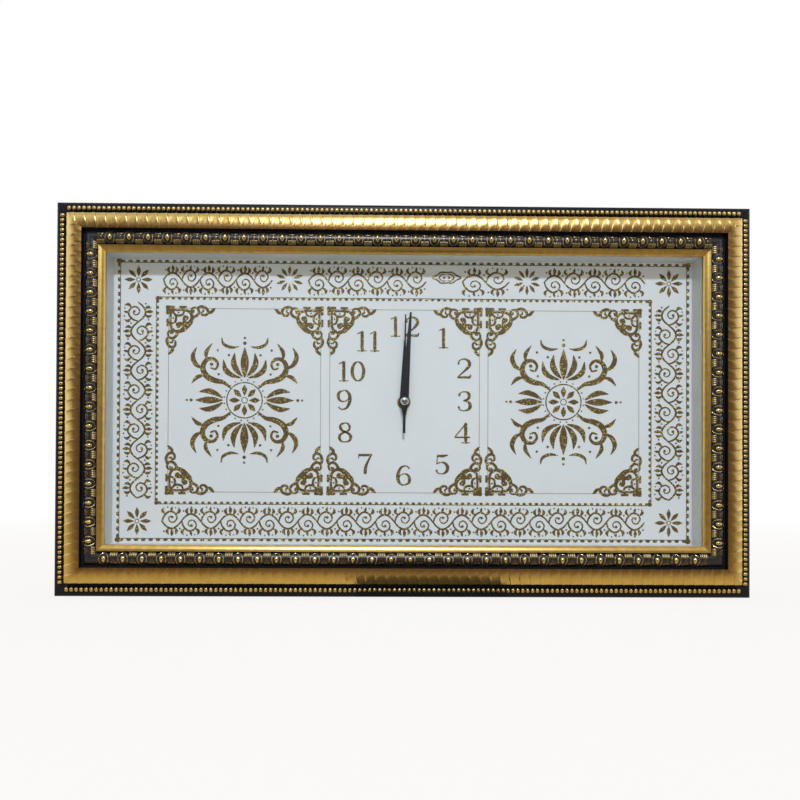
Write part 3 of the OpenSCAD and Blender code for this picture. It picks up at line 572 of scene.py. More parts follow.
BAND_ARC = [band_point(i / BAND_STEPS, 0.0) for i in range(BAND_STEPS + 1)]
LIP_C = (NOSE_R + (LIP_R - NOSE_R) * sin(radians(LIP_TILT)),
         LIP_BACK + NOSE_R - (LIP_R - NOSE_R) * cos(radians(LIP_TILT)))
LIP_PROFILE = (arc(NOSE_R, LIP_BACK + NOSE_R, NOSE_R, -180, -LIP_TILT, 8)[:-1]
               + arc(*LIP_C, LIP_R, -LIP_TILT, -LIP_END, 10) + [(LIP_W, LIP_EDGE_H)])
PROFILE = [
    ("back", [(REBATE_W, LIP_BACK), (REBATE_W, 0), (RAIL_W, 0)]),
    ("black", [(RAIL_W, 0), *arc(RAIL_W - EDGE_R, LEDGE_H - EDGE_R, EDGE_R, 90, 0, 6),
               (BAND_U1, ledge_height(BAND_U1)), BAND_ARC[-1]]),
    ("band", BAND_ARC[::-1]),
    ("black", [BAND_ARC[0], (BAND_ARC[0][0], GROOVE_H), (EGG_U + EGG_EDGE, GROOVE_H)]),
    ("ground", arc(EGG_U, EGG_C, EGG_R, EGG_A, -EGG_A, 12)),
    ("black", [(EGG_U - EGG_EDGE, GROOVE_H), (LIP_W, GROOVE_H), (LIP_W, LIP_EDGE_H)]),
    ("lip", LIP_PROFILE[::-1]),
    ("black", [LIP_PROFILE[0], (REBATE_W, LIP_BACK)]),
]

# Scales of the band: steps are (part of the pitch, part of the relief)

SCALE_PITCH = 10.3
SCALE_RELIEF = 0.9
SCALE_SINK = 0.45
SCALE_UNDER = 0.9
SCALE_STEPS = ((0, 0.05), (0.06, 0.42), (0.18, 0.54), (0.36, 0.6), (0.55, 0.66), (0.7, 0.72), (0.77, 0.9),
               (0.83, 1), (0.89, 0.96), (0.95, 0.6))
SCALE_SEAMS = (0, 9)
SCALE_ACROSS = 22
SCALE_CREST = 0.34
SCALE_DRIFT = 0.34
SCALE_SWELL = 0.62
BOW_AT = 0.3
BOW_IN = 0.9
BOW_OUT = 2.9

# Eggs and darts: lines are (s, v, radius), slabs are (v, half width, rise), v round the section

EGG_PITCH = 19.1
EGG_SPARE = 7.0
EGG_SHIFT = {"top": -0.4, "bottom": 4.4}
CUP_HALF = (4.55, 7)
CUP_AT = 0.3
CUP_TAPER = 0.06
CUP_LINE = 0.22
CUP_SWELL = 0.26
CUP_RING = [(CUP_HALF[0] * cos(t) * (1 - CUP_TAPER * sin(t)), CUP_AT + CUP_HALF[1] * sin(t),
             CUP_LINE + CUP_SWELL * cos(t) ** 2) for t in around(24)]
YOLK_HALF = (1.85, 3.9, 1.3)
YOLK_AT = 0.4
YOLK_TAPER = 0.42
FOOT_AT = [3.7 * place for place in (-0.78, -0.26, 0.26, 0.78)]
FOOT_SLAB = ((-7, 0.8, 0), (-6.7, 0.85, 1.1), (-4.8, 0.85, 0.7), (-3, 0.8, 0.25), (-2.7, 0.75, 0))
WAIST_SLAB = ((-2.3, 2.3, 0), (-2, 2, 0.3), (-0.2, 1.3, 0.3), (1.6, 1.4, 0.3), (2, 1.5, 0))
HEAD_SLAB = ((2.6, 1.2, 0), (2.9, 1.6, 0.25), (4.4, 2.9, 0.25), (6.4, 3.5, 0.25), (6.8, 3.5, 0))
HEAD_LINES = [((-3.5, 6.6, 0.16), (-3.1, 4.6, 0.3), (-1.7, 2.9, 0.3), (0, 2.6, 0.3), (1.7, 2.9, 0.3),
               (3.1, 4.6, 0.3), (3.5, 6.6, 0.16))]
HEAD_LINES += [((1.4 * lean, 3.6, 0.16), (2.6 * lean, 5.2, 0.3), (3.4 * lean, 6.6, 0.16))
               for lean in (-0.55, 0, 0.55)]
SLAB_SINK = 0.4
SLAB_SHOULDER = 0.6
SLAB_ROUND = 0.35

# Beads of the ledge: half sizes along the rail, across it and upwards

BEAD_PITCH = 5.02
BEAD_SPARE = 2.5
BEAD_U = 46.0
BEAD_SIZE = (1.85, 2.4, 2.6)
BEAD_SQUARE = 0.7
BEAD_LIFT = 1.4
DOME_STEPS = 10
DOME_POLE = 0.015


class Rail:
    """One mitred rail, built from its section and its rows of relief."""

    def __init__(self, side, turn, reach, length):
        self.side = side
        self.spin = Matrix.Rotation(radians(turn), 2)
        self.reach = reach
        self.length = length
        self.shape = Shape("band", "seam", "lip", "relief", "ring", "yolk", "foot", "bead",
                           "black", "ground", "back")

    def spot(self, s, u, h):
        x, y = self.spin @ Vector((s, self.reach + u))
        return face(x, y, h)

    def end(self, u):
        """Half the rail's length at the given distance outwards, to the mitre."""
        return self.length / 2 + u

    def rows(self, pitch, u, spare, part=0, shift=0):
        """Places along the rail for a row of ornaments that stops short of the mitres."""
        reach = self.end(u) - spare
        count = int(reach / pitch) + 2
        places = [(i + part) * pitch + shift for i in range(-count, count + 1)]
        return [s for s in places if abs(s) <= reach]

    def section(self):
        for finish, points in PROFILE:
            rows = [[self.spot(way * self.end(u), u, h) for u, h in points] for way in (-1, 1)]
            span = len(points)
            faces = [(i, i + 1, span + i + 1, span + i) for i in range(span - 1)]
            self.shape.add(rows[0] + rows[1], faces, finish)
        loop = [point for _, points in PROFILE for point in points[:-1]]
        for way in (-1, 1):
            cap = [self.spot(way * self.end(u), u, h) for u, h in loop]
            self.shape.add(cap, [tuple(range(len(cap)))], "back")

    def scales(self):
        """Overlapping scales pressed into the wide band, as one closed skin over it."""
        count = ceil(self.end(BAND_U1) / SCALE_PITCH) + 1
        lines = []
        for k in range(-count, count + 1):
            for step, (part, lift) in enumerate(SCALE_STEPS):
                ring, inside = self.scale_line(k, part, lift * SCALE_RELIEF)
                # The first and last step of each scale are its seam, in the darker gilt of painted shade
                lines.append((ring, "seam" if step in SCALE_SEAMS else "band", inside))
        kept = [i for i, line in enumerate(lines) if line[2]]
        lines = lines[max(kept[0] - 1, 0):kept[-1] + 2]
        self.shape.loft([line[0] for line in lines], [line[1] for line in lines])

    def scale_line(self, number, part, lift):
        """One curved line across the band, front side out and back side in, cut at the mitres."""
        front, under, inside = [], [], False
        crest = SCALE_CREST + SCALE_DRIFT * part
        for c in range(SCALE_ACROSS + 1):
            t = c / SCALE_ACROSS
            near = min(1, abs(t - crest) / SCALE_SWELL)
            swell = 0.5 + 0.5 * cos(pi * near)
            span, bow = (1 - BOW_AT, BOW_OUT) if t > BOW_AT else (BOW_AT, BOW_IN)
            u, h = band_point(t, lift * swell - SCALE_SINK * sin(pi * t))
            limit = self.end(u)
            s = (number + part) * SCALE_PITCH - bow * ((t - BOW_AT) / span) ** 2
            inside = inside or abs(s) < limit
            s = max(-limit, min(limit, s))
            front.append(self.spot(s, u, h))
            under.append(self.spot(s, *band_point(t, -SCALE_UNDER)))
        return front + under[::-1], inside

    def egg_spot(self, s, v, lift):
        """Point on the egg row, v mm round the section from its crest."""
        a = v / EGG_R
        radius = EGG_R + lift
        return Vector((s, EGG_U + radius * sin(a), EGG_C + radius * cos(a)))

    def cord(self, middle, path, closed=False):
        """Round gilt line laid on the egg row along (s, v, radius) points about a middle line."""
        spots = [self.egg_spot(middle + s, v, 0) for s, v, _ in path]
        rings = []
        last = len(path) - 1
        for i, spot in enumerate(spots):
            before = spots[i - 1] if i or closed else spot
            after = spots[(i + 1) % len(spots)] if i < last or closed else spot
            along = (after - before).normalized()
            _, v, r = path[i]
            out = Vector((0, sin(v / EGG_R), cos(v / EGG_R)))
            side = along.cross(out).normalized()
            rings.append([self.spot(*spot + r * (cos(t) * side + sin(t) * out))
                          for t in around(6, 0.5)])
        self.shape.loft(rings, "ring", closed)

    def dome(self, place, finish, sides):
        """Closed rounded button; place turns a unit sphere's point into a rail point."""
        rings = []
        for i in range(DOME_STEPS + 1):
            tilt = pi * (DOME_POLE + (1 - 2 * DOME_POLE) * i / DOME_STEPS) - pi / 2
            flat, rise = cos(tilt), sin(tilt)
            rings.append([self.spot(*place(flat * cos(t), flat * sin(t), rise))
                          for t in around(sides)])
        self.shape.loft(rings, finish)

    def slab(self, middle, outline, finish):
        """Plate laid on the egg row across a middle line: rows of (v, half width, rise)."""
        rings = []
        for v, half, rise in outline:
            edge = ((half, -SLAB_SINK), (half, rise * SLAB_SHOULDER), (half - SLAB_ROUND, rise))
            rings.append([self.spot(*self.egg_spot(middle + s, v, h)) for s, h in (
                *((-s, h) for s, h in edge), *edge[::-1])])
        self.shape.loft(rings, finish)

    def eggs(self):
        """Row of eggs in their cups, with a dart between each two."""
        shift = EGG_SHIFT.get(self.side, 0)
        for s in self.rows(EGG_PITCH, EGG_U, EGG_SPARE, 0.5, shift):
            self.cord(s, CUP_RING, True)

            def yolk(x, y, z):
                return self.egg_spot(s + YOLK_HALF[0] * x * (1 - YOLK_TAPER * y),
                                     YOLK_HALF[1] * y + YOLK_AT, YOLK_HALF[2] * z)
            self.dome(yolk, "yolk", 12)
        for s in self.rows(EGG_PITCH, EGG_U, EGG_SPARE, 0, shift):
            self.dart(s)

    def dart(self, s):
        """Hatched foot, plain waist and arched head between two eggs."""
        # The hatched feet take the dim gilt of painted shade
        for place in FOOT_AT:
            self.slab(s + place, FOOT_SLAB, "foot")
        # Waist and head take the nearly black gilt of painted shade
        for outline in (WAIST_SLAB, HEAD_SLAB):
            self.slab(s, outline, "relief")
        for path in HEAD_LINES:
            self.cord(s, path)

    def beads(self):
        """Upright beads, a little squarer than balls."""
        def squared(value):
            return copysign(abs(value) ** BEAD_SQUARE, value)
        base = ledge_height(BEAD_U) + BEAD_LIFT
        for s in self.rows(BEAD_PITCH, BEAD_U, BEAD_SPARE):
            def bead(x, y, z):
                a, b, up = [size * squared(way) for size, way in zip(BEAD_SIZE, (x, y, z))]
                return (s + a, BEAD_U + b * cos(LEDGE_TILT) - up * sin(LEDGE_TILT),
                        base + b * sin(LEDGE_TILT) + up * cos(LEDGE_TILT))
            self.dome(bead, "bead", 14)

    def build(self):
        self.section()
        self.scales()
        self.eggs()
        self.beads()
        piece = self.shape.make("moulding_" + self.side)
        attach(piece, "frame")
        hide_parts(self.side + "_rail")


for side, turn, reach, length in (("top", 0, OPEN_H / 2, OPEN_W), ("left", 90, OPEN_W / 2, OPEN_H),
                                  ("bottom", 180, OPEN_H / 2, OPEN_W), ("right", 270, OPEN_W / 2, OPEN_H)):
    Rail(side, turn, reach, length).build()


# Silver cap with rounded shoulders over the hub

CAP_SIDES = 40
CAP_STEPS = 10
CAP_SHOULDER = 0.62
CAP_RIM = 0.12
CAP_RISE = 0.8
CAP_TOP = ((0.2, 0.975), (0.02, 1))


def make_cap():
    """Cap of the CAD cap's own radius and height: rim, full shoulder and nearly flat top."""
    lo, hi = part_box("second_hand_cap")
    middle = (lo + hi) / 2
    radius, height = (hi.x - lo.x) / 2, hi.y - lo.y
    shoulder = [(1 - CAP_SHOULDER + CAP_SHOULDER * cos(a), CAP_RIM + CAP_RISE * sin(a))
                for a in (pi / 2 * i / CAP_STEPS for i in range(CAP_STEPS + 1))]
    shape = Shape("cap")
    shape.loft([[Vector((middle.x + radius * r * cos(t), hi.y - height * h,
                         middle.z + radius * r * sin(t))) for t in around(CAP_SIDES)]
                for r, h in ((1, 0), *shoulder, *CAP_TOP)], "cap")
    piece = shape.make("hub_cap", sharp=60)
    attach(piece, "seconds")
    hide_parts("second_hand_cap")


make_cap()


# Printed work on the board

INK_T = 0.08
INK_SINK = 0.02
INK_LAP = 0.002
INK_LAPS = 37
PRINT_AT = (0.6, 0.6)
END_REACH = 0.36
END_WIDTH = 0.5
END_DOT = 1.25
PETAL_BASE = 0.7
PETAL_TIP = 0.4
PETAL_SWELL = ((0.35, 0.85), (0.62, 1))
QUARTERS = ((-1, -1), (-1, 1), (1, -1), (1, 1))


def through(points, steps, closed):
    """Smooth curve through the points, each (x, y, width), with steps pieces to a span."""
    count = len(points)
    curve = []
    for i in range(count if closed else count - 1):
        near = [i + k for k in (-1, 0, 1, 2)]
        p = [Vector(points[n % count if closed else min(max(n, 0), count - 1)]) for n in near]
        for t in (j / steps for j in range(steps)):
            curve.append(0.5 * (2 * p[1] + (p[2] - p[0]) * t
                                + (2 * p[0] - 5 * p[1] + 4 * p[2] - p[3]) * t * t
                                + (3 * p[1] - p[0] - 3 * p[2] + p[3]) * t ** 3))
    return curve if closed else curve + [Vector(points[-1])]


class Print:
    """A group of inked strokes that becomes one thin piece on the board."""

    def __init__(self, name, finish="ink"):
        self.name = name
        self.finish = finish
        self.shape = Shape(finish)
        self.laps = 0

    def next_lap(self):
        """Each stroke lies a hair over the one before, so that crossing strokes don't share a face."""
        self.laps = (self.laps + 1) % INK_LAPS

    def layer(self, x, y):
        """Points on top of the ink and just under the board's face."""
        top = INK_T + INK_LAP * self.laps
        return [face(x + PRINT_AT[0], y + PRINT_AT[1], BOARD_H + h) for h in (top, -INK_SINK)]

    def stroke(self, points, steps=4, closed=False, place=None, heavy=1):
        """One tapering stroke through (x, y, width) points, its widths times heavy."""
        self.next_lap()
        points = [(*(place(x, y) if place else (x, y)), w * heavy) for x, y, w in points]
        curve = through(points, steps, closed)
        if not closed:
            curve = self.round_ends(curve)
        rings = []
        last = len(curve) - 1
        for i, (x, y, w) in enumerate(curve):
            before = curve[i - 1] if i or closed else curve[0]
            after = curve[(i + 1) % len(curve)] if i < last or closed else curve[last]
            dx, dy = after.x - before.x, after.y - before.y
            size = hypot(dx, dy) or 1.0
            nx, ny = -dy / size * w / 2, dx / size * w / 2
            left, right = self.layer(x + nx, y + ny), self.layer(x - nx, y - ny)
            rings.append([left[0], right[0], right[1], left[1]])
        self.shape.loft(rings, self.finish, closed)

    def round_ends(self, curve):
        """Adds a short narrow step at both ends, so a stroke doesn't end square."""
        ends = []
        for tip, near in ((curve[0], curve[1]), (curve[-1], curve[-2])):
            way = Vector((tip.x - near.x, tip.y - near.y)).normalized() * tip.z * END_REACH
            ends.append(Vector((tip.x + way.x, tip.y + way.y, tip.z * END_WIDTH)))
        return [ends[0]] + curve + [ends[1]]

    def dot(self, x, y, rx, ry=None, sides=10, place=None):
        """Round or oval dot."""
        self.next_lap()
        ry = ry or rx
        ring = [(x + rx * cos(t), y + ry * sin(t)) for t in around(sides)]
        pairs = [self.layer(*(place(*p) if place else p)) for p in ring]
        self.shape.loft([[p[0] for p in pairs], [p[1] for p in pairs]], self.finish)

    def ring(self, x, y, radius, width, knots):
        """Thin circle, drawn through so many knots."""
        self.stroke([(x + radius * cos(t), y + radius * sin(t), width)
                     for t in around(knots)], 3, True)

    def box_line(self, x0, y0, x1, y1, width):
        """Rectangle of four straight strokes."""
        corners = ((x0, y0), (x1, y0), (x1, y1), (x0, y1))
        for a, b in zip(corners, corners[1:] + corners[:1]):
            self.stroke([(*a, width), (*b, width)], 1)

    def dotted_border(self, half, line, pitch, dot, offset):
        """Rectangle line with a row of dots offset from it, in or out."""
        self.box_line(-half[0], -half[1], half[0], half[1], line)
        for turn in (1, -1):
            span, level = half[::turn]
            count = round((span + offset) / pitch)
            step = (span + offset) / count
            for i in range(-count, count):
                for side in (-1, 1):
                    spot = ((i + 0.5) * step, side * (level + offset))
                    self.dot(*spot[::turn], *dot[::turn], 8)
        for x, y in QUARTERS:
            self.dot(x * (half[0] + offset), y * (half[1] + offset), dot[0] * END_DOT)

    def blossom(self, x, y, petals, inner, outer, width, ring=0):
        """Flower of tapering petals, with a ring at its heart where one is given."""
        swell = [(inner + part * (outer - inner), 0, width * share) for part, share in PETAL_SWELL]
        for a in around(petals):
            def petal(r, t):
                return x + r * sin(a) + t * cos(a), y + r * cos(a) - t * sin(a)
            self.stroke([(inner, 0, PETAL_BASE), *swell, (outer, 0, PETAL_TIP)], place=petal)
        if ring:
            self.ring(x, y, ring, width=0.9, knots=12)

    def vine(self, start, end, place):
        """Vine from start to end along a band, in half waves that swing to either side."""
        count = max(1, round((end - start) / VINE_WAVE))
        wave = (end - start) / count
        for i in range(count):
            def bend(a, b):
                return place(start + (i + a) * wave, b * (-1) ** i)
            for points in VINE_STROKES:
                self.stroke(points, place=bend, heavy=VINE_HEAVY)
            for a, b, r in VINE_DOTS:
                self.dot(a, b, r / wave, r, 8, bend)

    def finish_off(self):
        piece = self.shape.make(self.name)
        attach(piece, "frame")


# Border lines with rows of dots, and the thin panel lines

OUTER = (296.4, 143.7)
INNER = (259, 107.8)
PANELS = ((-246.1, -87.7), (-78.2, 78.4), (87.4, 246.1))
PANEL_Y = (-95.3, 96)

work = Print("border_print")
work.dotted_border(OUTER, line=0.8, pitch=7.6, dot=(2.5, 1.65), offset=1.3)
work.dotted_border(INNER, line=0.9, pitch=6.45, dot=(1.9, 1.5), offset=-1.3)
work.finish_off()

work = Print("panel_print", "line")
for left, right in PANELS:
    work.box_line(left, PANEL_Y[0], right, PANEL_Y[1], width=0.7)
work.finish_off()

# Scrolled corner pieces, drawn for one half and mirrored about the diagonal

CORNER_STROKES = (
    ((0.8, 1, 1.6), (4, 1.2, 1.5), (8.2, 1, 1.3)),
    ((1.2, 1.2, 2.4), (3.6, 3.6, 2.6), (6.4, 6.4, 2.4)),
    ((5.4, 4.6, 1.6), (12, 4.5, 1.2), (19, 4.5, 1.5), (24, 6.2, 1.6), (26.6, 10.4, 1.8), (25.8, 15, 1.9),
     (22.6, 18.4, 2), (20.4, 19.6, 1.6)),
    ((17.4, 4.5, 1.2), (17.4, 1.4, 1.2)),
    ((14.2, 1.2, 1.3), (17.4, 1.3, 1.3), (20.6, 1.2, 1.3)),
    ((7, 5.8, 1), (9, 9.2, 1.3), (13, 10.2, 1.4), (17, 9, 1.3), (18.4, 6, 1)),
    ((20.6, 18.4, 1.6), (18, 14.4, 1.4), (19.4, 11.4, 1.5), (22.2, 12.2, 1.3), (21.4, 14.4, 1)),
    ((26.8, 12.2, 1.9), (31, 10.6, 1.6), (34, 6.6, 1.6), (32, 2.4, 1.4), (27.6, 2.2, 1.2), (26, 5, 1.1),
     (28.2, 6.8, 1.3)),
    ((32.6, 1.6, 1.2), (37, 0.6, 1.6), (41.6, 2.6, 1.6), (43.4, 6.4, 1.6), (41.2, 9.4, 1.5), (37.4, 9.4, 1.3),
     (36.6, 7.2, 1.1), (38.6, 5.6, 1), (38, 3.8, 0.8)),
    ((43.2, 7, 1.4), (46.4, 6.6, 1.8), (48.8, 4.2, 1.7), (50.4, 2.8, 1)),
    ((19, 10.8, 1.4), (19, 17, 2.4), (19, 23.4, 2.2)),
    ((27, 12.6, 1.8), (25.6, 17.4, 2.2), (22, 21.4, 2.4)),
)
CORNER_DOTS = ((28.4, 5, 1.3), (12.8, 7.2, 1), (3.2, 2.6, 2.5), (7.6, 1.6, 1.6))
CORNER_OUT = 2.65
CORNER_HEAVY = 1.85

work = Print("corner_print")
for left, right in PANELS:
    for x_edge, x_way in ((left, 1), (right, -1)):
        for y_edge, y_way in ((PANEL_Y[1], -1), (PANEL_Y[0], 1)):
            for swap in (False, True):
                def corner(a, b):
                    a, b = (b, a) if swap else (a, b)
                    return x_edge + x_way * (a - CORNER_OUT), y_edge + y_way * (b - CORNER_OUT)
                for points in CORNER_STROKES:
                    work.stroke(points, place=corner, heavy=CORNER_HEAVY)
                for x, y, r in CORNER_DOTS:
                    work.dot(x, y, r, place=corner)
work.finish_off()

# Dial numbers, drawn as strokes on a figure 21 mm tall, centred on x = 0

FIGURE_H = 21.0
SIX = (
    ((4.6, 18, 1.5), (2, 20.3, 1.2), (-2.4, 18.8, 2.3), (-5, 12, 3.3), (-4.8, 5.2, 3.3), (-2.4, 1.2, 2),
     (0.4, 0.6, 1.2), (4, 2.6, 2.5), (5, 6.6, 3.1), (3.6, 10.8, 2.2), (0.6, 12.2, 1.2), (-2.6, 11, 1.1),
     (-4.4, 8.2, 1.1)),
)
FIGURES = {
    "0": ([(5.0 * sin(t), 10.5 + 9.9 * cos(t), 1.2 + 2.1 * abs(sin(t)))
           for t in (*around(18), 2 * pi)],),
    "1": (((0, 20.2, 3), (0, 10, 3.2), (0, 0.6, 3.2)), ((-4.2, 18.4, 0.9), (-1.6, 19.6, 1.3), (0, 20.4, 1.2)),
          ((-3.8, 0.5, 1), (0, 0.5, 1), (3.8, 0.5, 1))),
    "2": (((-4.9, 15.2, 2), (-4.4, 18.4, 1.3), (-0.8, 20.4, 1.3), (3.2, 19, 2.7), (4.7, 15.2, 3.3),
           (3.2, 11.3, 2.9), (-0.5, 7, 1.8), (-4.4, 2.8, 1.3), (-5.6, 1.2, 1)),
          ((-5.6, 1.1, 2), (0, 1.2, 2.3), (4.6, 1.3, 2.5), (5.7, 4, 0.9))),
    "3": (((-4.6, 16.4, 2.2), (-3.2, 19.4, 1.2), (0, 20.4, 1.2), (3.4, 19, 2.6), (4.2, 15.8, 3.1),
           (3, 12.6, 2.4), (-0.8, 11.1, 1.1)),
          ((-0.8, 11.1, 1.1), (3.2, 10, 2.3), (5.1, 6.4, 3.4), (4, 2.4, 2.9), (0, 0.6, 1.3), (-3.6, 1.4, 1.2),
           (-5, 4.4, 2.3))),
    "4": (((3, 20.4, 1.3), (-6.2, 6.8, 1.2)), ((-6.6, 6.2, 1.6), (6.4, 6.2, 1.6)),
          ((3, 20.2, 3.2), (3, 0.6, 3.2)), ((-0.6, 0.5, 1), (6.6, 0.5, 1))),
    "5": (((-3.9, 19.4, 2.3), (1, 19.2, 2.7), (4.6, 20.2, 1.6)), ((-3.9, 20.2, 1.2), (-4.6, 10.8, 1.2)),
          ((-4.6, 10.8, 1), (-1.5, 12.6, 1.3), (2.2, 12, 2.3), (4.8, 8.2, 3.4), (4, 3.2, 2.9),
           (0.4, 0.6, 1.3), (-3.4, 1.4, 1.2), (-4.8, 4.2, 2.3))),
    "6": SIX,
    "7": (((-5.2, 19.4, 2.4), (0, 19.4, 2.5), (5.6, 19.6, 2.1)), ((-5.5, 20.4, 1.1), (-5.5, 15.6, 0.8)),
          ((5.2, 19.2, 1.5), (2.6, 13, 2.1), (0.6, 7, 2.9), (0.2, 0.8, 3.3))),
    "8": (((0, 20.4, 1.2), (-3.3, 18.8, 2.4), (-4.1, 15.6, 2.9), (-2.6, 12.6, 2.3), (0.6, 10.8, 2.1),
           (3.8, 8.6, 2.5), (5, 5.4, 3.1), (3.6, 1.8, 2.2), (0, 0.6, 1.2), (-3.7, 1.8, 2.2), (-5, 5.2, 2.9),
           (-3.8, 8.6, 2.3), (0, 11, 1.7), (3.2, 13, 2.1), (3.9, 16, 2.5), (2.8, 19.2, 1.9)),),
    "9": tuple(tuple((-x, FIGURE_H - y, w) for x, y, w in points) for points in SIX),
}
CLOSED_FIGURES = "8"
FIGURE_WIDEN = 1.2
FIGURE_HEAVY = 1.07
FIGURE_GAPS = {"10": 14.8, "11": 13.3, "12": 17.4}
NUMBERS = {
    "12": (-1, 78.5), "1": (40.6, 66.7), "2": (62.4, 35.1), "3": (62.7, 0.8), "4": (60.6, -32.7),
    "5": (39.5, -65.4), "6": (-0.4, -77.1), "7": (-41, -65), "8": (-61.9, -32.5), "9": (-63.3, 1.4),
    "10": (-56.2, 31.4), "11": (-37.9, 62.9),
}

work = Print("dial_numbers")
for number, (x, y) in NUMBERS.items():
    gap = FIGURE_GAPS.get(number, 0)
    for i, figure in enumerate(number):
        def figure_place(a, b, x=x + gap * (i - (len(number) - 1) / 2), y=y - FIGURE_H / 2):
            return x + FIGURE_WIDEN * a, y + b
        for points in FIGURES[figure]:
            work.stroke(points, closed=figure in CLOSED_FIGURES, place=figure_place, heavy=FIGURE_HEAVY)
work.finish_off()

# Running vine between the border lines: strokes are (part of a half wave, across, width)

BAND_MID = ((OUTER[0] + INNER[0]) / 2, (OUTER[1] + INNER[1]) / 2)
VINE_WAVE = 20.5
VINE_HEAVY = 1.25
VINE_STROKES = (
    ((0, 0, 1.2), (0.22, 5, 1.5), (0.5, 7.6, 1.7), (0.78, 5, 1.5), (1, 0, 1.2)),
    ((0.02, 0.4, 1.2), (0.12, -5.4, 1.5), (0.38, -10, 1.6), (0.66, -8.6, 1.5), (0.78, -3.4, 1.3),
     (0.62, 1, 1.2), (0.42, 0.2, 1.1), (0.36, -3.4, 1), (0.46, -5.4, 1)),
    ((0.36, 7, 0.8), (0.27, 10.6, 2.6), (0.36, 14, 0.4)),
    ((0.5, 8, 0.8), (0.53, 11.8, 2.8), (0.5, 15.6, 0.4)),
    ((0.66, 6.8, 0.8), (0.76, 10.2, 2.6), (0.7, 13.6, 0.4)),
    ((0.18, -7.6, 0.8), (0.04, -10.8, 2.5), (0.12, -14.4, 0.4)),
    ((0.5, -10.2, 0.8), (0.5, -12.6, 2.2), (0.54, -15.2, 0.4)),
    ((0.74, -7.4, 0.8), (0.9, -10.4, 2.6), (0.84, -14.2, 0.4)),
)
VINE_DOTS = ((0.53, -4.4, 1.5), (0.12, 10.6, 1), (0.93, 7.6, 1), (0.3, -14.6, 0.9), (0.7, -14, 0.8))

ROSETTES = ((-120.6, 127), (128, 126.8))
ROSETTE_SHAPE = (10, 4.6, 14.2, 3.3)
CORNER_FLOWER = (8, 3.4, 14.5, 4, 2)
TOP_VINES = ((-252, -139), (-101, 22), (60, 109), (146, 252))
FOOT_VINE = (-252, 252)
SIDE_VINE = (-102, 102)
LOZENGE = (43.6, 130.2)
LOZENGE_W = 1.7
LOZENGE_LINE = ((-15, 0), (-9.5, 2.8), (-6, 5.6), (0, 5.4), (6, 5.6), (9.5, 2.8), (15, 0), (9.5, -2.8),
                (6, -5.6), (0, -5.4), (-6, -5.6), (-9.5, -2.8))
LOZENGE_CURL = ((1, 3.2, 0.9), (4.6, 3.4, 1.3), (7.6, 0, 1.5), (4.6, -3.4, 1.3), (1, -3.2, 0.9))
LOZENGE_DOT = (2.6, 1.3)

work = Print("vine_print")
for ends in TOP_VINES:
    work.vine(*ends, lambda a, b: (a, BAND_MID[1] + b))
work.vine(*FOOT_VINE, lambda a, b: (a, -BAND_MID[1] - b))
work.vine(*SIDE_VINE, lambda a, b: (-BAND_MID[0] - b, a))
work.vine(*SIDE_VINE, lambda a, b: (BAND_MID[0] + b, a))
for x, y in ROSETTES:
    work.blossom(x, y, *ROSETTE_SHAPE)
for x, y in QUARTERS:
    work.blossom(x * BAND_MID[0], y * BAND_MID[1], *CORNER_FLOWER)
work.stroke([(LOZENGE[0] + a, LOZENGE[1] + b, LOZENGE_W) for a, b in LOZENGE_LINE], closed=True)
for way in (-1, 1):
    work.stroke([(LOZENGE[0] + way * a, LOZENGE[1] + b, w) for a, b, w in LOZENGE_CURL])
    work.dot(LOZENGE[0] + way * LOZENGE_DOT[0], LOZENGE[1], LOZENGE_DOT[1])
work.finish_off()

# Floral medallions of the side panels, drawn for one quarter and mirrored

MEDALLION_STROKES = (
    ((2.5, 25, 1.2), (8, 31, 4.2), (11.5, 39, 4.8), (10.5, 49, 0.8)),
    ((4.5, 23.5, 1.2), (13, 26, 3.6), (20, 32, 4.4), (22, 42, 0.8)),
    ((23, 2.5, 1.2), (30, 7, 3.8), (38, 9.6, 4.4), (47, 8.6, 0.8)),
    ((15, 13, 1.4), (22, 18.5, 3.2), (31, 20.5, 4.6), (39.5, 25, 5), (43.5, 33.5, 4.4), (40, 41.5, 3.6),
     (32.5, 43, 2.8), (28, 38, 2.2), (30, 32.5, 1.8), (35, 33.5, 1.4)),
    ((44, 33, 1.2), (51, 37.5, 3.8), (54, 46, 3.6), (50, 55, 0.6)),
    ((39.5, 42, 1), (40, 50, 3.4), (34, 59, 0.6)),
    ((41, 26, 1), (49, 24, 3.4), (55, 17.5, 0.6)),
    ((6, 56, 0.6), (14, 55, 2.6), (22, 58.5, 2.4), (24, 65, 0.8)),
    ((0, 24, 1), (0, 32, 5.4), (0, 42, 6.6), (0, 55, 0.6)),
    ((23, 0, 1), (31, 0, 4.8), (40, 0, 5.6), (51, 0, 0.6)),
)
MEDALLION_DOTS = ((0, 59.5, 1.9), (0, 65, 1.3), (55.5, 0, 1.7), (60, 0, 1.2), (34.5, 37.5, 1.9),
                  (16.5, 47, 1.4), (27, 27, 1.3), (28, 52, 1.3))
MEDALLION_Y = 0.5
MEDALLION_HEAVY = 1.25
MEDALLION_FLOWER = (8, 5, 16, 5.2, 3)
MEDALLION_RING = (18.5, 1.3, 16)
PEARLS = (20, 21.3, 0.9)

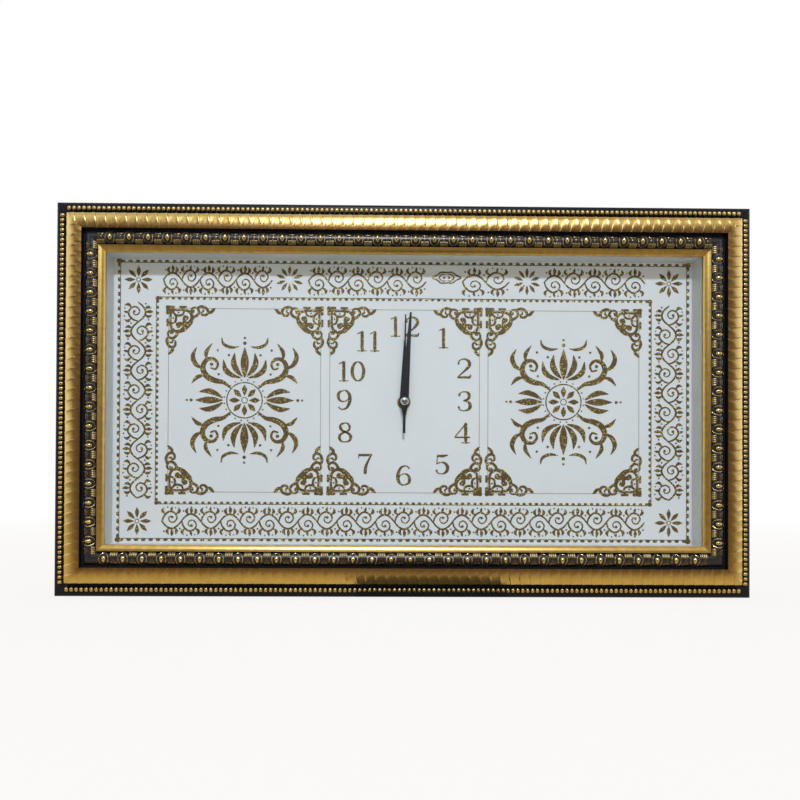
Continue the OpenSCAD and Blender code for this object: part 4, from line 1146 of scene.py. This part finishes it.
work = Print("medallion_print")
for left, right in (PANELS[0], PANELS[2]):
    middle = (left + right) / 2
    work.blossom(middle, MEDALLION_Y, *MEDALLION_FLOWER)
    work.ring(middle, MEDALLION_Y, *MEDALLION_RING)
    count, reach, radius = PEARLS
    for t in around(count, 0.5):
        work.dot(middle + reach * cos(t), MEDALLION_Y + reach * sin(t), radius, sides=8)
    for x, y in QUARTERS:
        def quarter(a, b):
            return middle + x * a, MEDALLION_Y + y * b

        def due(a, b):
            """What lies on an axis is drawn once for the two quarters that share it."""
            return (a or x > 0) and (b or y > 0)
        for points in MEDALLION_STROKES:
            if due(*points[1][:2]):
                work.stroke(points, 5, place=quarter, heavy=MEDALLION_HEAVY)
        for a, b, r in MEDALLION_DOTS:
            if due(a, b):
                work.dot(a, b, r, place=quarter)
work.finish_off()


# Stage, lamp and camera

FLOOR_Z = cad_box[0].z
CARD_Z = FLOOR_Z + 0.0005
SHADE_Z = CARD_Z + 0.0005
FLOOR_SIZE = 7.0
FLOOR_GREY = (0.86, 0.86, 0.86)
FLOOR_WHITE = 0.8
FLOOR_FADE = (450.0, 1500.0)
ROOM_X = (-3.0, 3.0)
FOOT_Y = -0.22
NEAR_SHADE = (-0.05, 0.105, -0.12, 0.1)
FAR_SHADE = (-0.06, 0.25, -0.95, -0.35)
WALL_Y = -3.0
DADO_Z = 1.25
CEILING_Z = 3.0
DARK = (0.05, 0.044, 0.04)
FOOT = (0.58, 0.48, 0.29)
TAN = (0.30, 0.24, 0.16)
DADO = (0.065, 0.05, 0.04)
WALL = (0.30, 0.265, 0.205)
COOL = (0.56, 0.57, 0.50)
WARM = (0.44, 0.36, 0.22)
WHITE = (1.0, 1.0, 1.0)
MATT = {"Roughness": 0.9, "Specular_IOR_Level": 0.0}


def level(x0, x1, y0, y1, z):
    return [(x0, y0, z), (x1, y0, z), (x1, y1, z), (x0, y1, z)]


def upright(x0, x1, y, z0, z1):
    return [(x0, y, z0), (x1, y, z0), (x1, y, z1), (x0, y, z1)]


def card(name, corners, material):
    """Flat sheet that isn't part of the object."""
    mesh = bpy.data.meshes.new(name)
    mesh.from_pydata(corners, [], [(0, 1, 2, 3)])
    mesh.materials.append(material)
    piece = stand(name, mesh)
    return piece


def white_floor(name):
    """Matt floor, lifted towards white for the eye, for gloss and through glass, that keeps its shadows."""
    f = Finish(name, Base_Color=FLOOR_GREY, **MATT)
    eye, gloss, pane = f.rays()
    white = f.node("Emission", {"Color": WHITE, "Strength": 1.0})
    away = f.between(f.node("VectorMath", {0: f.where()}, "Value", operation="LENGTH"), *FLOOR_FADE)
    seen = (eye + pane) * (FLOOR_WHITE + away * (1 - FLOOR_WHITE)) + gloss * FLOOR_WHITE
    return f.mixed(seen, f.own, white)


def room_card(name, corners, colour):
    """Glowing card that only shows in gloss."""
    piece = card(name, corners, Finish(
        name, Base_Color=(0.0, 0.0, 0.0), Emission_Color=colour, Emission_Strength=1.0, **MATT).material)
    for rays in ("camera", "diffuse", "transmission", "volume_scatter", "shadow"):
        setattr(piece, "visible_" + rays, False)


card("floor", level(-FLOOR_SIZE, FLOOR_SIZE, -FLOOR_SIZE, FLOOR_SIZE, FLOOR_Z), white_floor("floor_white"))
room_card("foot_card", level(*ROOM_X, FOOT_Y, 1.0, CARD_Z), FOOT)
room_card("front_card", level(*ROOM_X, WALL_Y, FOOT_Y, CARD_Z), TAN)
room_card("far_shade", level(*FAR_SHADE, SHADE_Z), DARK)
room_card("near_shade", level(*NEAR_SHADE, SHADE_Z), DARK)
room_card("dado_card", upright(*ROOM_X, WALL_Y, FLOOR_Z, DADO_Z), DADO)
room_card("wall_card", upright(*ROOM_X, WALL_Y, DADO_Z, CEILING_Z), WALL)
room_card("cool_ceiling", level(ROOM_X[0], 0.0, WALL_Y, 1.0, CEILING_Z), COOL)
room_card("warm_ceiling", level(0.0, ROOM_X[1], WALL_Y, 1.0, CEILING_Z), WARM)

FILL_COLOUR = (1.0, 0.81, 0.49)
FILL = 0.53
LAMP_AT = face(100, 3531, 4500)
LAMP_AIM = face(0, 40, 30)
LAMP_SIZE = (1.2, 0.48)
LAMP_WATTS = 234.0
LAMP_COLOUR = (0.795, 0.84, 1.0)

# White to the eye, to gloss and through glass, and a soft fill on everything else

world = bpy.data.worlds.new("studio")
bpy.context.scene.world = world
world.use_nodes = True
sky = Nodes(world.node_tree)
eye, gloss, pane = sky.rays()
soft = sky.node("Background", {"Color": FILL_COLOUR, "Strength": FILL})
white = sky.node("Background", {"Color": WHITE, "Strength": 1.0})
mix = sky.node("MixShader", {0: eye + gloss + pane, 1: soft, 2: white})
sky.feed(sky.tree.nodes["World Output"].inputs["Surface"], mix)

# Large lamp above the clock and in front of it

data = bpy.data.lights.new("key_lamp", "AREA")
data.shape = "RECTANGLE"
data.size, data.size_y = LAMP_SIZE
data.energy = LAMP_WATTS
data.color = LAMP_COLOUR
lamp = stand("key_lamp", data)
lamp.location = LAMP_AT
lamp.rotation_euler = (LAMP_AIM - LAMP_AT).to_track_quat("-Z", "Y").to_euler()

# Camera at the place and angle fitted to the photograph, taken as 800 by 800

CAMERA_AT = (-45.3, -75.4, 628.6)
CAMERA_YAW = radians(0.566)
CAMERA_PITCH = radians(0.375)
CAMERA_ROLL = radians(0.263)
CAMERA_LENS = 26.13
CAMERA_SENSOR = 36.0
CAMERA_SHIFT = (0.0425, 0.088)

data = bpy.data.cameras.new("photo_camera")
data.sensor_width = CAMERA_SENSOR
data.lens = CAMERA_LENS
data.shift_x, data.shift_y = CAMERA_SHIFT
camera = stand("photo_camera", data)
turn = (Matrix.Rotation(-CAMERA_YAW, 4, "Z") @ Matrix.Rotation(pi / 2 + CAMERA_PITCH, 4, "X")
        @ Matrix.Rotation(CAMERA_ROLL, 4, "Z"))
camera.matrix_world = Matrix.Translation(face(*CAMERA_AT)) @ turn
bpy.context.scene.camera = camera
bpy.context.scene.view_settings.view_transform = "Standard"
